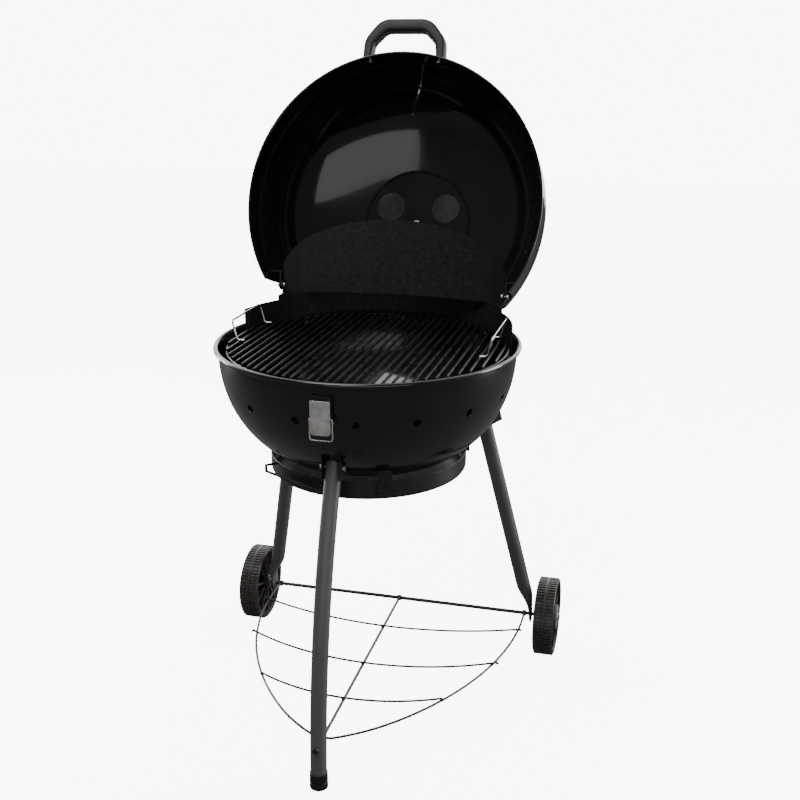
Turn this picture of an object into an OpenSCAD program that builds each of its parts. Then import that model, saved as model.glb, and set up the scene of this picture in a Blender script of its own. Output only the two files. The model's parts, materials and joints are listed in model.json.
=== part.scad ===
// Kettle charcoal grill on three legs, lid standing open on its rear hinge.
// Millimetres. +Z is up, +X is the grill's right as seen from the front, the front faces -Y.
// The origin is on the ground at the middle of the grill's outer box.

/* [Bowl] */
// Outer radius of the bowl wall at its mouth
bowl_r = 282; // [240:1:320]
// Depth that the bowl's curve would have if it closed at the bottom
bowl_depth = 250; // [215:1:290]
// Height of the bowl's mouth above the ground
rim_height = 748; // [650:1:850]
// Radius of the rolled bead around the mouth
rim_bead_r = 4.5; // [3:0.1:6]
// Thickness of the sheet steel
sheet = 1.5; // [1:0.1:2.5]
// Number of air holes across the bowl's front half
air_hole_count = 8; // [4:1:12]
// Diameter of an air hole
air_hole_d = 15; // [8:0.5:20]
// Depth of the air holes below the mouth
air_hole_depth = 78; // [60:1:95]
// Radius of the opening in the bowl's bottom
ash_hole_r = 174; // [140:1:180]

/* [Lid] */
// How far the inside of the lid's skirt stands off the bowl wall
lid_overhang = 13.5; // [11:0.5:28]
// Height of the straight skirt
skirt_h = 60; // [45:1:75]
// Height of the dome above the skirt
dome_h = 180; // [150:1:210]
// Angle that the lid swings from shut to open
lid_angle = 108.8; // [95:0.1:112]
// Radius of the flat seat on top that carries the damper
seat_r = 116; // [100:1:130]
// Diameter of each of the three vents
vent_d = 62; // [40:1:68]
// Distance of the vents from the lid's middle
vent_ring_r = 70; // [60:1:75]

/* [Hinge] */
// Distance of the hinge pins in front of the bowl's rear edge
hinge_inset = 114; // [107:1:122]
// Height of the hinge pins above the bowl's mouth
hinge_z = 60; // [55:1:66]
// Radius of a hinge bolt's shank
hinge_pin_r = 3; // [2.5:0.1:4]
// Distance of the upper plate's side edges inside the bowl's radius
shield_inset = 51; // [49:1:67]

/* [Ash pan] */
// Outer radius of the ash pan's wall
pan_r = 190; // [182:1:198]
// Depth of the ash pan
pan_h = 36; // [25:1:50]

/* [Legs] */
// Outer diameter of a leg tube
leg_d = 30; // [22:1:34]
// Wall of a leg tube
leg_wall = 1.5; // [1:0.1:2.5]
// Distance of the front foot in front of the bowl's middle
front_foot_y = 345; // [320:1:370]
// Bending radius of the front leg
front_leg_bend = 1400; // [1200:10:1800]
// Distance of each rear leg's foot from the middle plane
rear_foot_x = 299; // [285:1:305]

/* [Wheels] */
// Wheel diameter
wheel_d = 168; // [140:1:190]
// Width of the tread
wheel_w = 43; // [30:1:50]
// Distance of the wheel's middle plane from the grill's middle plane
wheel_x = 335; // [330:1:360]
// Distance of the axle behind the bowl's middle
axle_y = 237; // [220:1:255]
// Diameter of the axle
axle_d = 8; // [6:0.5:10]

/* [Grates] */
// Spacing of the cooking grate's rods
rod_pitch = 16; // [10:0.5:20]
// Radius of a cooking grate rod
rod_r = 2.5; // [1.5:0.1:3.5]
// Spacing of the charcoal grate's rods
coal_pitch = 22; // [16:1:30]
// Depth of the charcoal grate below the mouth
coal_depth = 165; // [140:1:175]

/* [Shelf] */
// Radius of the shelf's outer wire
shelf_wire_r = 2.5; // [2:0.1:4]
// Radius of the shelf's centre bar
shelf_bar_r = 3; // [2:0.1:4]
// Bending radius of the long stretch of the outer wire
shelf_side_bend = 665; // [600:5:750]
// Bending radius of the outer wire's nose
shelf_nose_bend = 380; // [340:5:450]

/* [Hidden] */

$fn = 96;
fit = 0.06;
joint_gap = 0.5;
weld_gap = 0.05;
// How much the corner of a bent wire stands proud of the wire
knuckle = 0.12;
far = 1000;

// Curves of the bowl and the lid: superellipses of these powers
bowl_p = 2.25;
dome_p = 2.6;
curve_steps = 18;
function oval_r(r, h, p, z) = r * pow(1 - pow(z / h, p), 1 / p);
function oval_point(r, h, p, u) = [r * pow(cos(u), 2 / p), h * pow(sin(u), 2 / p)];
function oval_end(r, r_end, p) = acos(pow(r_end / r, p / 2));
function bowl_at(depth) = oval_r(bowl_r, bowl_depth, bowl_p, depth);
function dome_at(r, z) = oval_r(r, dome_h, dome_p, z);

// The lid's places around and above the bowl's mouth
lid_r = bowl_r + lid_overhang;
hinge_y = bowl_r - hinge_inset;
lid_lift = 3.3;
dome_z = lid_lift + skirt_h;
seat_z = dome_z + oval_r(dome_h, lid_r + sheet, dome_p, seat_r);
damper_r = seat_r - 4;
damper_gap = 0.4;
damper_t = 2;
damper_top = seat_z + damper_gap + damper_t;

// The bowl stands off the origin so that the origin is the middle of the outer box
foot_cap_r = leg_d / 2 + 2;
front_reach = front_foot_y + foot_cap_r;
rear_reach = hinge_y - (damper_r + hinge_y) * cos(lid_angle) + (damper_top - hinge_z) * sin(lid_angle);
bowl_y = (front_reach - rear_reach) / 2;
wheel_r = wheel_d / 2;
axle_z = wheel_r;

// Rear shield: a bowed plate that closes the gap behind the lid
shield_bow_r = 745.6;
shield_y = bowl_r - 67;
shield_half_w = bowl_r - shield_inset;
shield_top_gap = 13;
shield_band_r = bowl_r - 10;
shield_band_low = -28;
shield_ledge_z = 44;
shield_wing_z = 34;
shield_wing_angle = 80;
shield_bolt_z = -21;
lid_cut_gap = 3;
lid_relief_y = 4;
lid_relief_z = 75;

// Hinge ears
ear_t = 2;
ear_r = 10;
shield_ear_x = shield_half_w - ear_t;
lid_ear_x = shield_half_w + 2.5;
lid_ear_front = 28;

// Cooking and charcoal grates
grate_z = -12;
grate_ring_wire = 3;
grate_r = shield_band_r - sheet - 2.5 - grate_ring_wire;
coal_wire = 3;
coal_r = bowl_at(coal_depth + coal_wire) - sheet - 1.5 - coal_wire;
rest_t = 2;

// Ash pan
pan_top = -213;
pan_bottom = pan_top - pan_h;
pan_edge_r = 8;
pan_wire_r = 2.5;
lug_z = pan_bottom + 12;
catch_angles = [-90 + 24, 30, 150];

// Legs
leg_r = leg_d / 2;
leg_top_z = rim_height - 148;
rear_top = [bowl_r - 90, bowl_r - 150, leg_top_z];
tab_t = 6;
tab_z = 40;
tab_w = 26;
rear_foot = [rear_foot_x, axle_y, axle_z];
rear_run = rear_foot - rear_top;
rear_len = norm(rear_run);
rear_tilt = acos(-rear_run[2] / rear_len);
rear_turn = atan2(rear_run[1], rear_run[0]);
front_bolt_z = rim_height - 173;
front_bolt_y = -front_foot_y + pow(front_bolt_z, 2) / (2 * front_leg_bend);
rear_bolt_share = 0.055;
rear_lean = atan2(rear_run[1], -rear_run[2]);

// Wheel places
tread_t = 9;
hub_r = 17;
spoke_count = 10;
axle_half = wheel_x + wheel_w / 2 + 7;

// Shelf
shelf_z = axle_z;
eye_r = 6.5;
eye_l = 8;
shelf_tail = [rear_foot_x - 14, axle_y - eye_r - weld_gap];
shelf_tail_angle = 2;
shelf_tip = [0, -front_foot_y + leg_r + 5];
side_centre = shelf_tail - shelf_side_bend * [cos(shelf_tail_angle), sin(shelf_tail_angle)];
bend_step = shelf_side_bend - shelf_nose_bend;
tip_way = side_centre - shelf_tip;
nose_cos = (pow(shelf_nose_bend, 2) - pow(bend_step, 2) - pow(norm(tip_way), 2))
    / (2 * bend_step * norm(tip_way));
nose_angle = atan2(tip_way[1], tip_way[0]) - acos(nose_cos);
nose_centre = side_centre + bend_step * [cos(nose_angle), sin(nose_angle)];
weld_angle = 0.01;
nose_end = atan2(shelf_tip[1] - nose_centre[1], shelf_tip[0] - nose_centre[0]);
// Each cross wire: its y at the middle, its y at the ends and its half length
cross_wires = [[95, 153, 289], [-60, 8, 264], [-192, -147, 184]];
cross_wire_r = 2.2;

// Latch on the bowl's front
latch_z = -34;
latch_y = -bowl_r - 7;
lever_w = 36;
lever_h = 58;
bail_drop = 28;
bail_wire_r = 1.25;

// Lid handle
handle_base = 84;
handle_top = 56;
handle_reach = lid_r + 71.5;
handle_bar = 26;
handle_leg = 20;
handle_z = [6, 36];

// Thermometer, on the dome's front
gauge_z = 100;
gauge_y = -dome_at(lid_r + sheet, gauge_z);
gauge_tilt = 33;
gauge_r = 31;

// Places

module on_ground() {
    translate([0, bowl_y, 0]) children();
}

module on_bowl() {
    translate([0, bowl_y, rim_height]) children();
}

module on_lid() {
    on_bowl() translate([0, hinge_y, hinge_z]) rotate([-lid_angle, 0, 0])
        translate([0, -hinge_y, -hinge_z]) children();
}

module at_gauge() {
    translate([0, gauge_y, dome_z + gauge_z]) rotate([90 - gauge_tilt, 0, 0]) children();
}

module both_sides() {
    children();
    mirror([1, 0, 0]) children();
}

// Shapes that several pieces share

module rod_x(r, x0, x1) {
    translate([x0, 0, 0]) rotate([0, 90, 0]) cylinder(r = r, h = x1 - x0);
}

module rod_y(r, y0, y1) {
    translate([0, y0, 0]) rotate([-90, 0, 0]) cylinder(r = r, h = y1 - y0);
}

module ring(major_r, wire_r) {
    rotate_extrude() translate([major_r, 0]) circle(r = wire_r);
}

module wire_arc(centre, bend_r, start, sweep, wire_r) {
    translate([centre[0], centre[1], 0]) rotate([0, 0, start])
        rotate_extrude(angle = sweep, $fn = 720) translate([bend_r, 0]) circle(r = wire_r, $fn = 32);
}

// Solid inside a bowl wall of the given offset, cut off at the given end radius
module bowl_solid(grow, end_r) {
    r = bowl_r + grow;
    h = bowl_depth + grow;
    end = oval_end(r, end_r, bowl_p);
    curve = [for (i = [0:curve_steps]) oval_point(r, h, bowl_p, end * i / curve_steps)];
    rotate_extrude() polygon(concat(
        [for (p = curve) [p[0], -p[1]]],
        [[0, -curve[curve_steps][1]], [0, 0]]
    ));
}

// Solid inside the lid: skirt, dome and a flat top
module lid_solid(r, h) {
    end = oval_end(r, seat_r, dome_p);
    curve = [for (i = [0:curve_steps]) oval_point(r, h, dome_p, end * i / curve_steps)];
    rotate_extrude() polygon(concat(
        [[0, 0], [r, 0]],
        [for (p = curve) [p[0], p[1] + skirt_h]],
        [[0, curve[curve_steps][1] + skirt_h]]
    ));
}

// Outline of everything in front of the bowed plate
module before_shield(grow) {
    translate([0, shield_y - shield_bow_r]) circle(r = shield_bow_r + grow, $fn = 200);
}

// Straight rods of a round grate, that are welded on top of its ring
module grate_rods(r, ring_wire, wire_r, pitch) {
    count = floor((r - 6) / pitch);
    for (i = [-count:count])
        translate([i * pitch, 0, ring_wire + wire_r + weld_gap])
            rod_y(wire_r, -sqrt(r * r - pow(i * pitch, 2)), sqrt(r * r - pow(i * pitch, 2)));
}

// The kettle

module bowl() {
    color([0.05, 0.05, 0.055]) on_bowl() {
        difference() {
            union() {
                bowl_solid(0, ash_hole_r);
                translate([0, 0, -rim_bead_r]) ring(bowl_r + rim_bead_r - sheet / 2, rim_bead_r);
            }
            difference() {
                bowl_solid(-sheet, 1);
                translate([0, 0, -far - bowl_depth + sheet]) cylinder(r = far, h = far);
            }
            translate([0, 0, -bowl_depth]) cylinder(r = ash_hole_r - sheet, h = 100);
            for (i = [0:air_hole_count - 1])
                rotate([0, 0, -180 + (i + 0.5) * 180 / air_hole_count])
                    translate([0, 0, -air_hole_depth]) rod_x(air_hole_d / 2, bowl_r / 2, bowl_r + 20);
            shield_bolt_places() rod_x(3, bowl_r / 2, bowl_r + 20);
        }
    }
}

// Holes that the shield's band and plate share with the bolts
module shield_bolt_places() {
    for (a = [45, 90, 135])
        rotate([0, 0, a]) translate([0, 0, shield_bolt_z]) children();
}

// Band that hugs the inside of the bowl's mouth
module shield_band() {
    color([0.09, 0.09, 0.09]) on_bowl() difference() {
        rotate([0, 0, 90 - shield_wing_angle]) rotate_extrude(angle = 2 * shield_wing_angle)
            translate([shield_band_r - sheet, shield_band_low])
                square([sheet, shield_ledge_z - shield_band_low]);
        // The wings beside the hinge are lower, clear of the lid's skirt as it swings
        both_sides() translate([0, -far, shield_wing_z]) cube([far, far + hinge_y - 26, far]);
        shield_bolt_places() rod_x(3, shield_band_r - 10, far);
    }
}

// Footprint of the bowed plate
module plate_outline() {
    intersection() {
        difference() {
            before_shield(0);
            before_shield(-sheet);
        }
        translate([-shield_half_w, 0]) square([2 * shield_half_w, far]);
    }
}

// Bowed plate behind the lid's opening, with the ledge that joins it to the band and the ears
module rear_shield() {
    ledge_back = hinge_y - 25;
    color([0.09, 0.09, 0.09]) on_bowl() difference() {
        union() {
            // Ledge, from the band to the plate
            translate([0, 0, shield_ledge_z - sheet]) linear_extrude(sheet) intersection() {
                translate([-shield_half_w, ledge_back]) square([2 * shield_half_w, far]);
                difference() {
                    union() {
                        circle(r = shield_band_r - sheet - weld_gap, $fn = 200);
                        before_shield(0);
                    }
                    intersection() {
                        circle(r = shield_band_r + weld_gap, $fn = 200);
                        before_shield(-sheet);
                    }
                    // Slot that the band's top edge stands in
                    difference() {
                        circle(r = shield_band_r + weld_gap, $fn = 200);
                        circle(r = shield_band_r - sheet - weld_gap, $fn = 200);
                    }
                }
            }
            // Its top follows the inside of the dome
            intersection() {
                translate([0, 0, shield_ledge_z]) linear_extrude(far) plate_outline();
                translate([0, 0, lid_lift - shield_top_gap]) lid_solid(lid_r, dome_h);
            }
            // Ears that carry the hinge bolts
            both_sides() translate([shield_ear_x, hinge_y, hinge_z]) {
                rotate([0, 90, 0]) cylinder(r = ear_r, h = ear_t);
                translate([0, -4, shield_ledge_z - hinge_z - sheet / 2])
                    cube([ear_t, ear_r + 2, hinge_z - shield_ledge_z + ear_r]);
            }
        }
        both_sides() translate([0, hinge_y, hinge_z]) rod_x(hinge_pin_r + fit, shield_ear_x - 5, far);
        both_sides() translate([92, 0, 145]) rod_y(3, 0, far);
    }
}

module shield_bolts() {
    nut_at = bowl_at(-shield_bolt_z);
    color([0.6, 0.6, 0.6]) on_bowl() shield_bolt_places() {
        rod_x(2.9, shield_band_r - sheet - 1, nut_at + 6);
        rod_x(4, shield_band_r - sheet - 2.2, shield_band_r - sheet - 0.1);
        rod_x(5, shield_band_r + 0.1, nut_at - sheet - 1);
        rod_x(5.5, nut_at + 1, nut_at + 5);
    }
}

module grate_rests() {
    wall_r = bowl_at(-grate_z + 6) - sheet;
    low = grate_z - grate_ring_wire - rest_t;
    color([0.12, 0.12, 0.12]) on_bowl() {
        for (a = [-125, -55, 0, 180])
            rotate([0, 0, a]) translate([grate_r - 6, -9, low]) cube([wall_r - grate_r + 5.5, 18, rest_t]);
        for (a = [65, 115])
            rotate([0, 0, a]) translate([grate_r - 6, -9, low])
                cube([shield_band_r - sheet - grate_r + 5.8, 18, rest_t]);
    }
}

module cooking_grate() {
    color([0.07, 0.07, 0.07]) on_bowl() translate([0, 0, grate_z])
        grate_rods(grate_r, grate_ring_wire, rod_r, rod_pitch);
}

module cooking_grate_ring() {
    color([0.07, 0.07, 0.07]) on_bowl() translate([0, 0, grate_z]) ring(grate_r, grate_ring_wire);
}

// Wire loop that lifts the cooking grate: two leaning legs and a bar
module grate_handle(side) {
    wire = 2;
    foot_x = rod_pitch * floor((grate_r - 12) / rod_pitch);
    foot_z = grate_ring_wire + 2 * rod_r + wire;
    lean = 14;
    rise = 40;
    ends = [-60, 84];
    color([0.75, 0.75, 0.75]) on_bowl() translate([0, 0, grate_z]) mirror([side, 0, 0]) {
        for (y = ends)
            translate([foot_x, y, foot_z]) rotate([0, lean, 0])
                cylinder(r = wire, h = rise - wire - weld_gap);
        translate([foot_x + rise * sin(lean), 0, foot_z + rise * cos(lean)])
            rod_y(wire, ends[0] - wire, ends[1] + wire);
    }
}

module charcoal_grate() {
    color([0.1, 0.1, 0.1]) on_bowl() translate([0, 0, -coal_depth])
        grate_rods(coal_r, coal_wire, rod_r, coal_pitch);
}

module charcoal_grate_ring() {
    color([0.1, 0.1, 0.1]) on_bowl() translate([0, 0, -coal_depth]) ring(coal_r, coal_wire);
}

// The legs

module front_tube(r) {
    translate([0, front_leg_bend - front_foot_y, 0]) rotate([90, 0, -90])
        rotate_extrude(angle = 26, $fn = 720) translate([front_leg_bend, 0]) circle(r = r, $fn = 64);
}

// Stands at a rear leg's top end and points down the leg
module along_rear_leg() {
    translate(rear_top) rotate([0, 0, rear_turn]) rotate([0, 180 - rear_tilt, 0]) children();
}

module kettle_cut(grow) {
    translate([0, 0, rim_height]) bowl_solid(grow, 1);
}

module leg_front() {
    color([0.3, 0.3, 0.31]) on_ground() difference() {
        front_tube(leg_r);
        front_tube(leg_r - leg_wall);
        kettle_cut(joint_gap);
        translate([0, 0, -10]) translate([-50, -far, 0]) cube([100, 2 * far, 14]);
        translate([0, 0, shelf_z]) rod_y(3.1, -far, 0);
        translate([0, front_bolt_y, front_bolt_z]) rod_x(3.1, -50, 50);
    }
}

module rear_leg(side) {
    bend_start = rear_len - tab_z;
    color([0.3, 0.3, 0.31]) on_ground() mirror([side, 0, 0]) difference() {
        union() {
            difference() {
                along_rear_leg() difference() {
                    translate([0, 0, -30]) cylinder(r = leg_r, h = bend_start + 30);
                    translate([0, 0, -31]) cylinder(r = leg_r - leg_wall, h = bend_start + 25);
                }
                kettle_cut(joint_gap);
            }
            // The tube's end is pressed flat against the axle
            translate(rear_foot) rotate([rear_lean, 0, 0])
                translate([-tab_t / 2, -tab_w / 2, -tab_w / 2 + 2]) cube([tab_t, tab_w, tab_z + 10]);
        }
        translate([0, axle_y, axle_z]) rod_x(axle_d / 2 + fit, rear_foot_x - 20, rear_foot_x + 20);
        along_rear_leg() translate([0, 0, rear_len * rear_bolt_share]) rotate([90, 0, 0])
            translate([0, 0, -50]) cylinder(r = 3.1, h = 100);
    }
}

// Two cheeks that hold a leg's top between them
module bracket_cheeks(low, high) {
    for (s = [-1, 1])
        translate([0, s * (leg_r + 1.5) - 1, low]) cube([leg_r + 34, 2, high - low]);
}

module leg_brackets() {
    color([0.06, 0.06, 0.06]) on_ground() {
        difference() {
            translate([0, 0, front_bolt_z]) rotate([0, 0, -90]) translate([-front_bolt_y - 34, 0, 0])
                bracket_cheeks(-20, 26);
            kettle_cut(joint_gap);
            translate([0, front_bolt_y, front_bolt_z]) rod_x(3.1, -50, 50);
        }
        for (side = [0, 1])
            mirror([side, 0, 0]) difference() {
                along_rear_leg() rotate([0, 0, 180]) translate([-16, 0, 0]) bracket_cheeks(-12, 52);
                kettle_cut(joint_gap);
                along_rear_leg() translate([0, 0, rear_len * rear_bolt_share]) rotate([90, 0, 0])
                    translate([0, 0, -50]) cylinder(r = 3.1, h = 100);
            }
    }
}

module cross_bolt() {
    half = leg_r + 3;
    translate([0, 0, -half - 5]) cylinder(r = 3, h = 2 * half + 10);
    translate([0, 0, half]) cylinder(r = 6, h = 4);
    translate([0, 0, -half - 5]) cylinder(r = 5.5, h = 5);
}

module leg_bolts() {
    color([0.7, 0.7, 0.7]) on_ground() {
        translate([0, front_bolt_y, front_bolt_z]) rotate([0, 90, 0]) cross_bolt();
        for (side = [0, 1])
            mirror([side, 0, 0]) along_rear_leg() translate([0, 0, rear_len * rear_bolt_share])
                rotate([90, 0, 0]) cross_bolt();
    }
}

module foot_cap() {
    color([0.04, 0.04, 0.04]) on_ground() difference() {
        translate([0, -front_foot_y, 0]) cylinder(r = foot_cap_r, h = 32);
        translate([0, -front_foot_y, 3.5]) cylinder(r = leg_r + 0.5, h = 40);
    }
}

// The wheels and their axle

module axle() {
    color([0.35, 0.35, 0.36]) on_ground() translate([0, axle_y, axle_z])
        rod_x(axle_d / 2, -axle_half, axle_half);
}

module axle_nuts() {
    hub_face = wheel_x + wheel_w / 2;
    color([0.5, 0.5, 0.5]) on_ground() translate([0, axle_y, axle_z]) both_sides() {
        difference() {
            union() {
                rod_x(8, hub_face + 0.6, hub_face + 6);
                rod_x(9, wheel_x - wheel_w / 2 - 3, wheel_x - wheel_w / 2 - 0.6);
            }
            rod_x(axle_d / 2 + fit, 0, far);
        }
    }
}

module wheel(side) {
    half = wheel_w / 2;
    color([0.06, 0.06, 0.06]) on_ground() translate([0, axle_y, axle_z]) mirror([side, 0, 0])
        translate([wheel_x, 0, 0]) difference() {
            union() {
                difference() {
                    rod_x(wheel_r, -half, half);
                    rod_x(wheel_r - tread_t, -half - 1, half + 1);
                }
                rod_x(hub_r, -half, half);
                rod_x(wheel_r - 2, -2, 2);
                for (i = [0:spoke_count - 1])
                    rotate([i * 360 / spoke_count, 0, 0])
                        translate([-half + 5, -1.5, hub_r - 2]) cube([wheel_w - 10, 3, wheel_r - hub_r - 4]);
            }
            rod_x(axle_d / 2 + fit, -far, far);
        }
}

// Ring on the outer end of a wheel's hub
module hub_cap(side) {
    face = wheel_w / 2;
    color([0.45, 0.45, 0.46]) on_ground() translate([0, axle_y, axle_z]) mirror([side, 0, 0])
        translate([wheel_x, 0, 0]) difference() {
            union() {
                rod_x(hub_r + 9, face - 4.9, face - 1);
                rod_x(hub_r + 5, face - 1, face + 2);
            }
            rod_x(hub_r + 0.2, 0, face + 0.1);
            rod_x(11, 0, far);
        }
}

// The wire shelf

module shelf_rim() {
    color([0.2, 0.2, 0.2]) on_ground() difference() {
        union() {
            translate([0, 0, shelf_z + shelf_bar_r - shelf_wire_r]) both_sides() difference() {
                union() {
                    wire_arc(side_centre, shelf_side_bend, nose_angle + weld_angle,
                        shelf_tail_angle - nose_angle - weld_angle, shelf_wire_r);
                    wire_arc(nose_centre, shelf_nose_bend, nose_end, nose_angle - nose_end,
                        shelf_wire_r);
                }
                translate([-far, -far, -5]) cube([far + 9 + weld_gap, 2 * far, 10]);
            }
            both_sides() translate([shelf_tail[0] - eye_l / 2, axle_y, axle_z]) rod_x(eye_r, 0, eye_l);
            // Tab that is screwed to the front leg
            translate([-9, -front_foot_y + leg_r + 4, shelf_z - 12]) cube([18, 3, 24]);
        }
        translate([0, axle_y, axle_z]) rod_x(axle_d / 2 + fit, -far, far);
        translate([0, 0, shelf_z]) rod_y(3.1, -far, -front_foot_y + 40);
    }
}

module shelf_wires() {
    lift = shelf_z + shelf_bar_r + cross_wire_r + weld_gap;
    color([0.2, 0.2, 0.2]) on_ground() translate([0, 0, lift]) for (w = cross_wires) {
        bow = w[1] - w[0];
        bend_r = (pow(w[2], 2) + pow(bow, 2)) / (2 * bow);
        half_angle = asin(w[2] / bend_r);
        wire_arc([0, w[0] + bend_r], bend_r, -90 - half_angle, 2 * half_angle, cross_wire_r);
    }
}

module shelf_bar() {
    color([0.2, 0.2, 0.2]) on_ground() difference() {
        union() {
            translate([0, 0, shelf_z]) rod_y(shelf_bar_r, shelf_tip[1] + 12, axle_y);
            translate([0, axle_y, axle_z]) rod_x(eye_r, -6, 6);
        }
        translate([0, axle_y, axle_z]) rod_x(axle_d / 2 + fit, -20, 20);
    }
}

module shelf_screw() {
    front = -front_foot_y - leg_r;
    color([0.1, 0.1, 0.1]) on_ground() translate([0, 0, shelf_z]) {
        rod_y(3, front + 1, -front_foot_y + leg_r + 12);
        rod_y(6, front - 2, front + 1.2);
        rod_y(5, -front_foot_y + leg_r + 7.2, -front_foot_y + leg_r + 11);
    }
}

// The latch on the bowl

module latch_base() {
    seat_half = 50;
    seat_mid = bowl_at(11 - latch_z) + 0.2;
    seat_slope = (bowl_at(8 - latch_z) - bowl_at(14 - latch_z)) / 6;
    color([0.06, 0.06, 0.06]) on_bowl() difference() {
        union() {
            translate([-18, latch_y + 5, latch_z - 32]) cube([36, 20, 42]);
            for (s = [-1, 1])
                translate([s * 11, latch_y, latch_z]) {
                    rod_x(3.4, -1, 1);
                    translate([-1, 0, -6]) cube([2, 8.5, 7]);
                }
        }
        // Back face, on a cone that touches the bowl's wall half way down the plate
        translate([0, 0, latch_z - 11 - seat_half]) cylinder(
            r1 = seat_mid - seat_half * seat_slope, r2 = seat_mid + seat_half * seat_slope,
            h = 2 * seat_half, $fn = 720);
        translate([0, latch_y, latch_z]) rod_x(1.5 + fit, -50, 50);
        for (s = [-1, 1])
            translate([0, 0, latch_z - 20]) translate([s * 8, 0, 0]) rod_y(2.1, -far, 0);
    }
}

module latch_rivets() {
    color([0.4, 0.4, 0.4]) on_bowl() {
        for (s = [-1, 1])
            translate([s * 8, 0, latch_z - 20]) {
                rod_y(2, latch_y + 4, -bowl_at(-latch_z + 20) - 0.3);
                rod_y(3.5, latch_y + 3.4, latch_y + 4.9);
            }
        translate([0, latch_y, latch_z]) rod_x(1.5, -15.5, 15.5);
    }
}

module latch_lever() {
    color([0.72, 0.71, 0.68]) on_bowl() translate([0, latch_y, latch_z]) difference() {
        union() {
            translate([0, -3.5, 0]) rotate([90, 0, 0]) linear_extrude(1.5) union() {
                translate([-lever_w / 2, 8 - lever_h]) square([lever_w, lever_h - 8]);
                for (s = [-1, 1])
                    translate([s * (lever_w / 2 - 8), 8 - lever_h]) circle(r = 8);
                translate([8 - lever_w / 2, -lever_h]) square([lever_w - 16, 10]);
            }
            for (s = [-1, 1])
                translate([s * 14 - 0.75, -4.5, -bail_drop - 4]) cube([1.5, 7, bail_drop + 7]);
        }
        rod_x(1.5 + fit, -50, 50);
        translate([0, 0, -bail_drop]) rod_x(bail_wire_r + fit, -16, 16);
    }
}

module latch_bail() {
    half = 20;
    drop = 40;
    color([0.72, 0.71, 0.68]) on_bowl() translate([0, latch_y, latch_z - bail_drop]) {
        both_sides() {
            rod_x(bail_wire_r, 13, half);
            translate([half, 0, -drop]) cylinder(r = bail_wire_r, h = drop);
            for (z = [0, -drop])
                translate([half, 0, z]) sphere(r = bail_wire_r + knuckle);
        }
        translate([0, 0, -drop]) rod_x(bail_wire_r, -half, half);
    }
}

// The ash pan

module ash_pan() {
    color([0.05, 0.05, 0.05]) on_bowl() {
        rotate_extrude() difference() {
            union() {
                translate([0, pan_bottom]) square([pan_r - pan_edge_r, pan_edge_r]);
                translate([0, pan_bottom + pan_edge_r]) square([pan_r, pan_h - pan_edge_r]);
                intersection() {
                    translate([pan_r - pan_edge_r, pan_bottom + pan_edge_r]) circle(r = pan_edge_r);
                    square([far, 2 * far], center = true);
                }
            }
            translate([0, pan_bottom + sheet]) square([pan_r - pan_edge_r, far]);
            translate([0, pan_bottom + pan_edge_r]) square([pan_r - sheet, far]);
            translate([pan_r - pan_edge_r, pan_bottom + pan_edge_r]) circle(r = pan_edge_r - sheet);
        }
        // Lugs that rest on the catches
        for (a = catch_angles)
            rotate([0, 0, a - 4]) rotate_extrude(angle = 8) translate([pan_r - sheet / 2, lug_z])
                square([9, 2]);
    }
}

// Catches hang from the bowl and hook under the pan's lugs
module pan_catches() {
    top = -186;
    strap_r = pan_r + 12;
    color([0.08, 0.08, 0.08]) on_bowl() for (a = catch_angles)
        rotate([0, 0, a - 3.5]) difference() {
            rotate_extrude(angle = 7) {
                translate([strap_r, lug_z - 3]) square([2, top - lug_z + 3]);
                translate([pan_r + 2, lug_z - 3]) square([strap_r - pan_r - 1, 2]);
                translate([bowl_at(-top) - 12, top - 2]) square([strap_r + 2 - bowl_at(-top) + 12, 2]);
            }
            bowl_solid(joint_gap, 1);
        }
}

module pan_handle() {
    stand = 22;
    span = 21;
    bar_z = -230;
    rise = 12;
    post_r = pan_r + stand;
    color([0.08, 0.08, 0.08]) on_bowl() translate([0, 0, bar_z]) rotate([0, 0, 241.4]) {
        for (s = [-1, 1])
            rotate([0, 0, s * span]) {
                translate([post_r, 0, 0]) cylinder(r = pan_wire_r, h = rise);
                translate([0, 0, rise]) rod_x(pan_wire_r, pan_r + 0.05, post_r);
                for (z = [0, rise])
                    translate([post_r, 0, z]) sphere(r = pan_wire_r + knuckle);
            }
        translate([post_r * cos(span), 0, 0])
            rod_y(pan_wire_r, -post_r * sin(span), post_r * sin(span));
    }
}

// The lid

module hinge_bolts() {
    color([0.75, 0.75, 0.75]) on_bowl() both_sides() translate([0, hinge_y, hinge_z]) {
        rod_x(hinge_pin_r, shield_ear_x - 1, lid_ear_x + ear_t + 4);
        rod_x(5.5, shield_ear_x - 4, shield_ear_x - 0.1);
        rod_x(5, lid_ear_x + ear_t + 0.4, lid_ear_x + ear_t + 4);
    }
}

module lid_shell() {
    color([0.04, 0.04, 0.045]) on_lid() difference() {
        translate([0, 0, lid_lift]) union() {
            lid_solid(lid_r + sheet, dome_h);
            translate([0, 0, 2]) ring(lid_r + sheet, 2);
        }
        translate([0, 0, lid_lift - 0.01]) lid_solid(lid_r, dome_h - sheet);
        // The rear is cut off along the shield
        translate([0, 0, -10]) linear_extrude(far) difference() {
            translate([-far, 0]) square([2 * far, far]);
            before_shield(lid_cut_gap);
        }
        translate([-far, hinge_y - lid_relief_y, -far]) cube([2 * far, far, far + lid_relief_z]);
        for (a = [-30, 90, 210])
            rotate([0, 0, a]) translate([vent_ring_r, 0, seat_z - 20]) cylinder(r = vent_d / 2, h = 40);
        translate([0, 0, seat_z - 20]) cylinder(r = 3.1, h = 40);
        at_gauge() translate([0, 0, -30]) cylinder(r = 3, h = 60);
        for (s = [-1, 1])
            translate([s * 70, 0, (handle_z[0] + handle_z[1]) / 2]) rod_y(2.6, -far, 0);
    }
}

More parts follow.
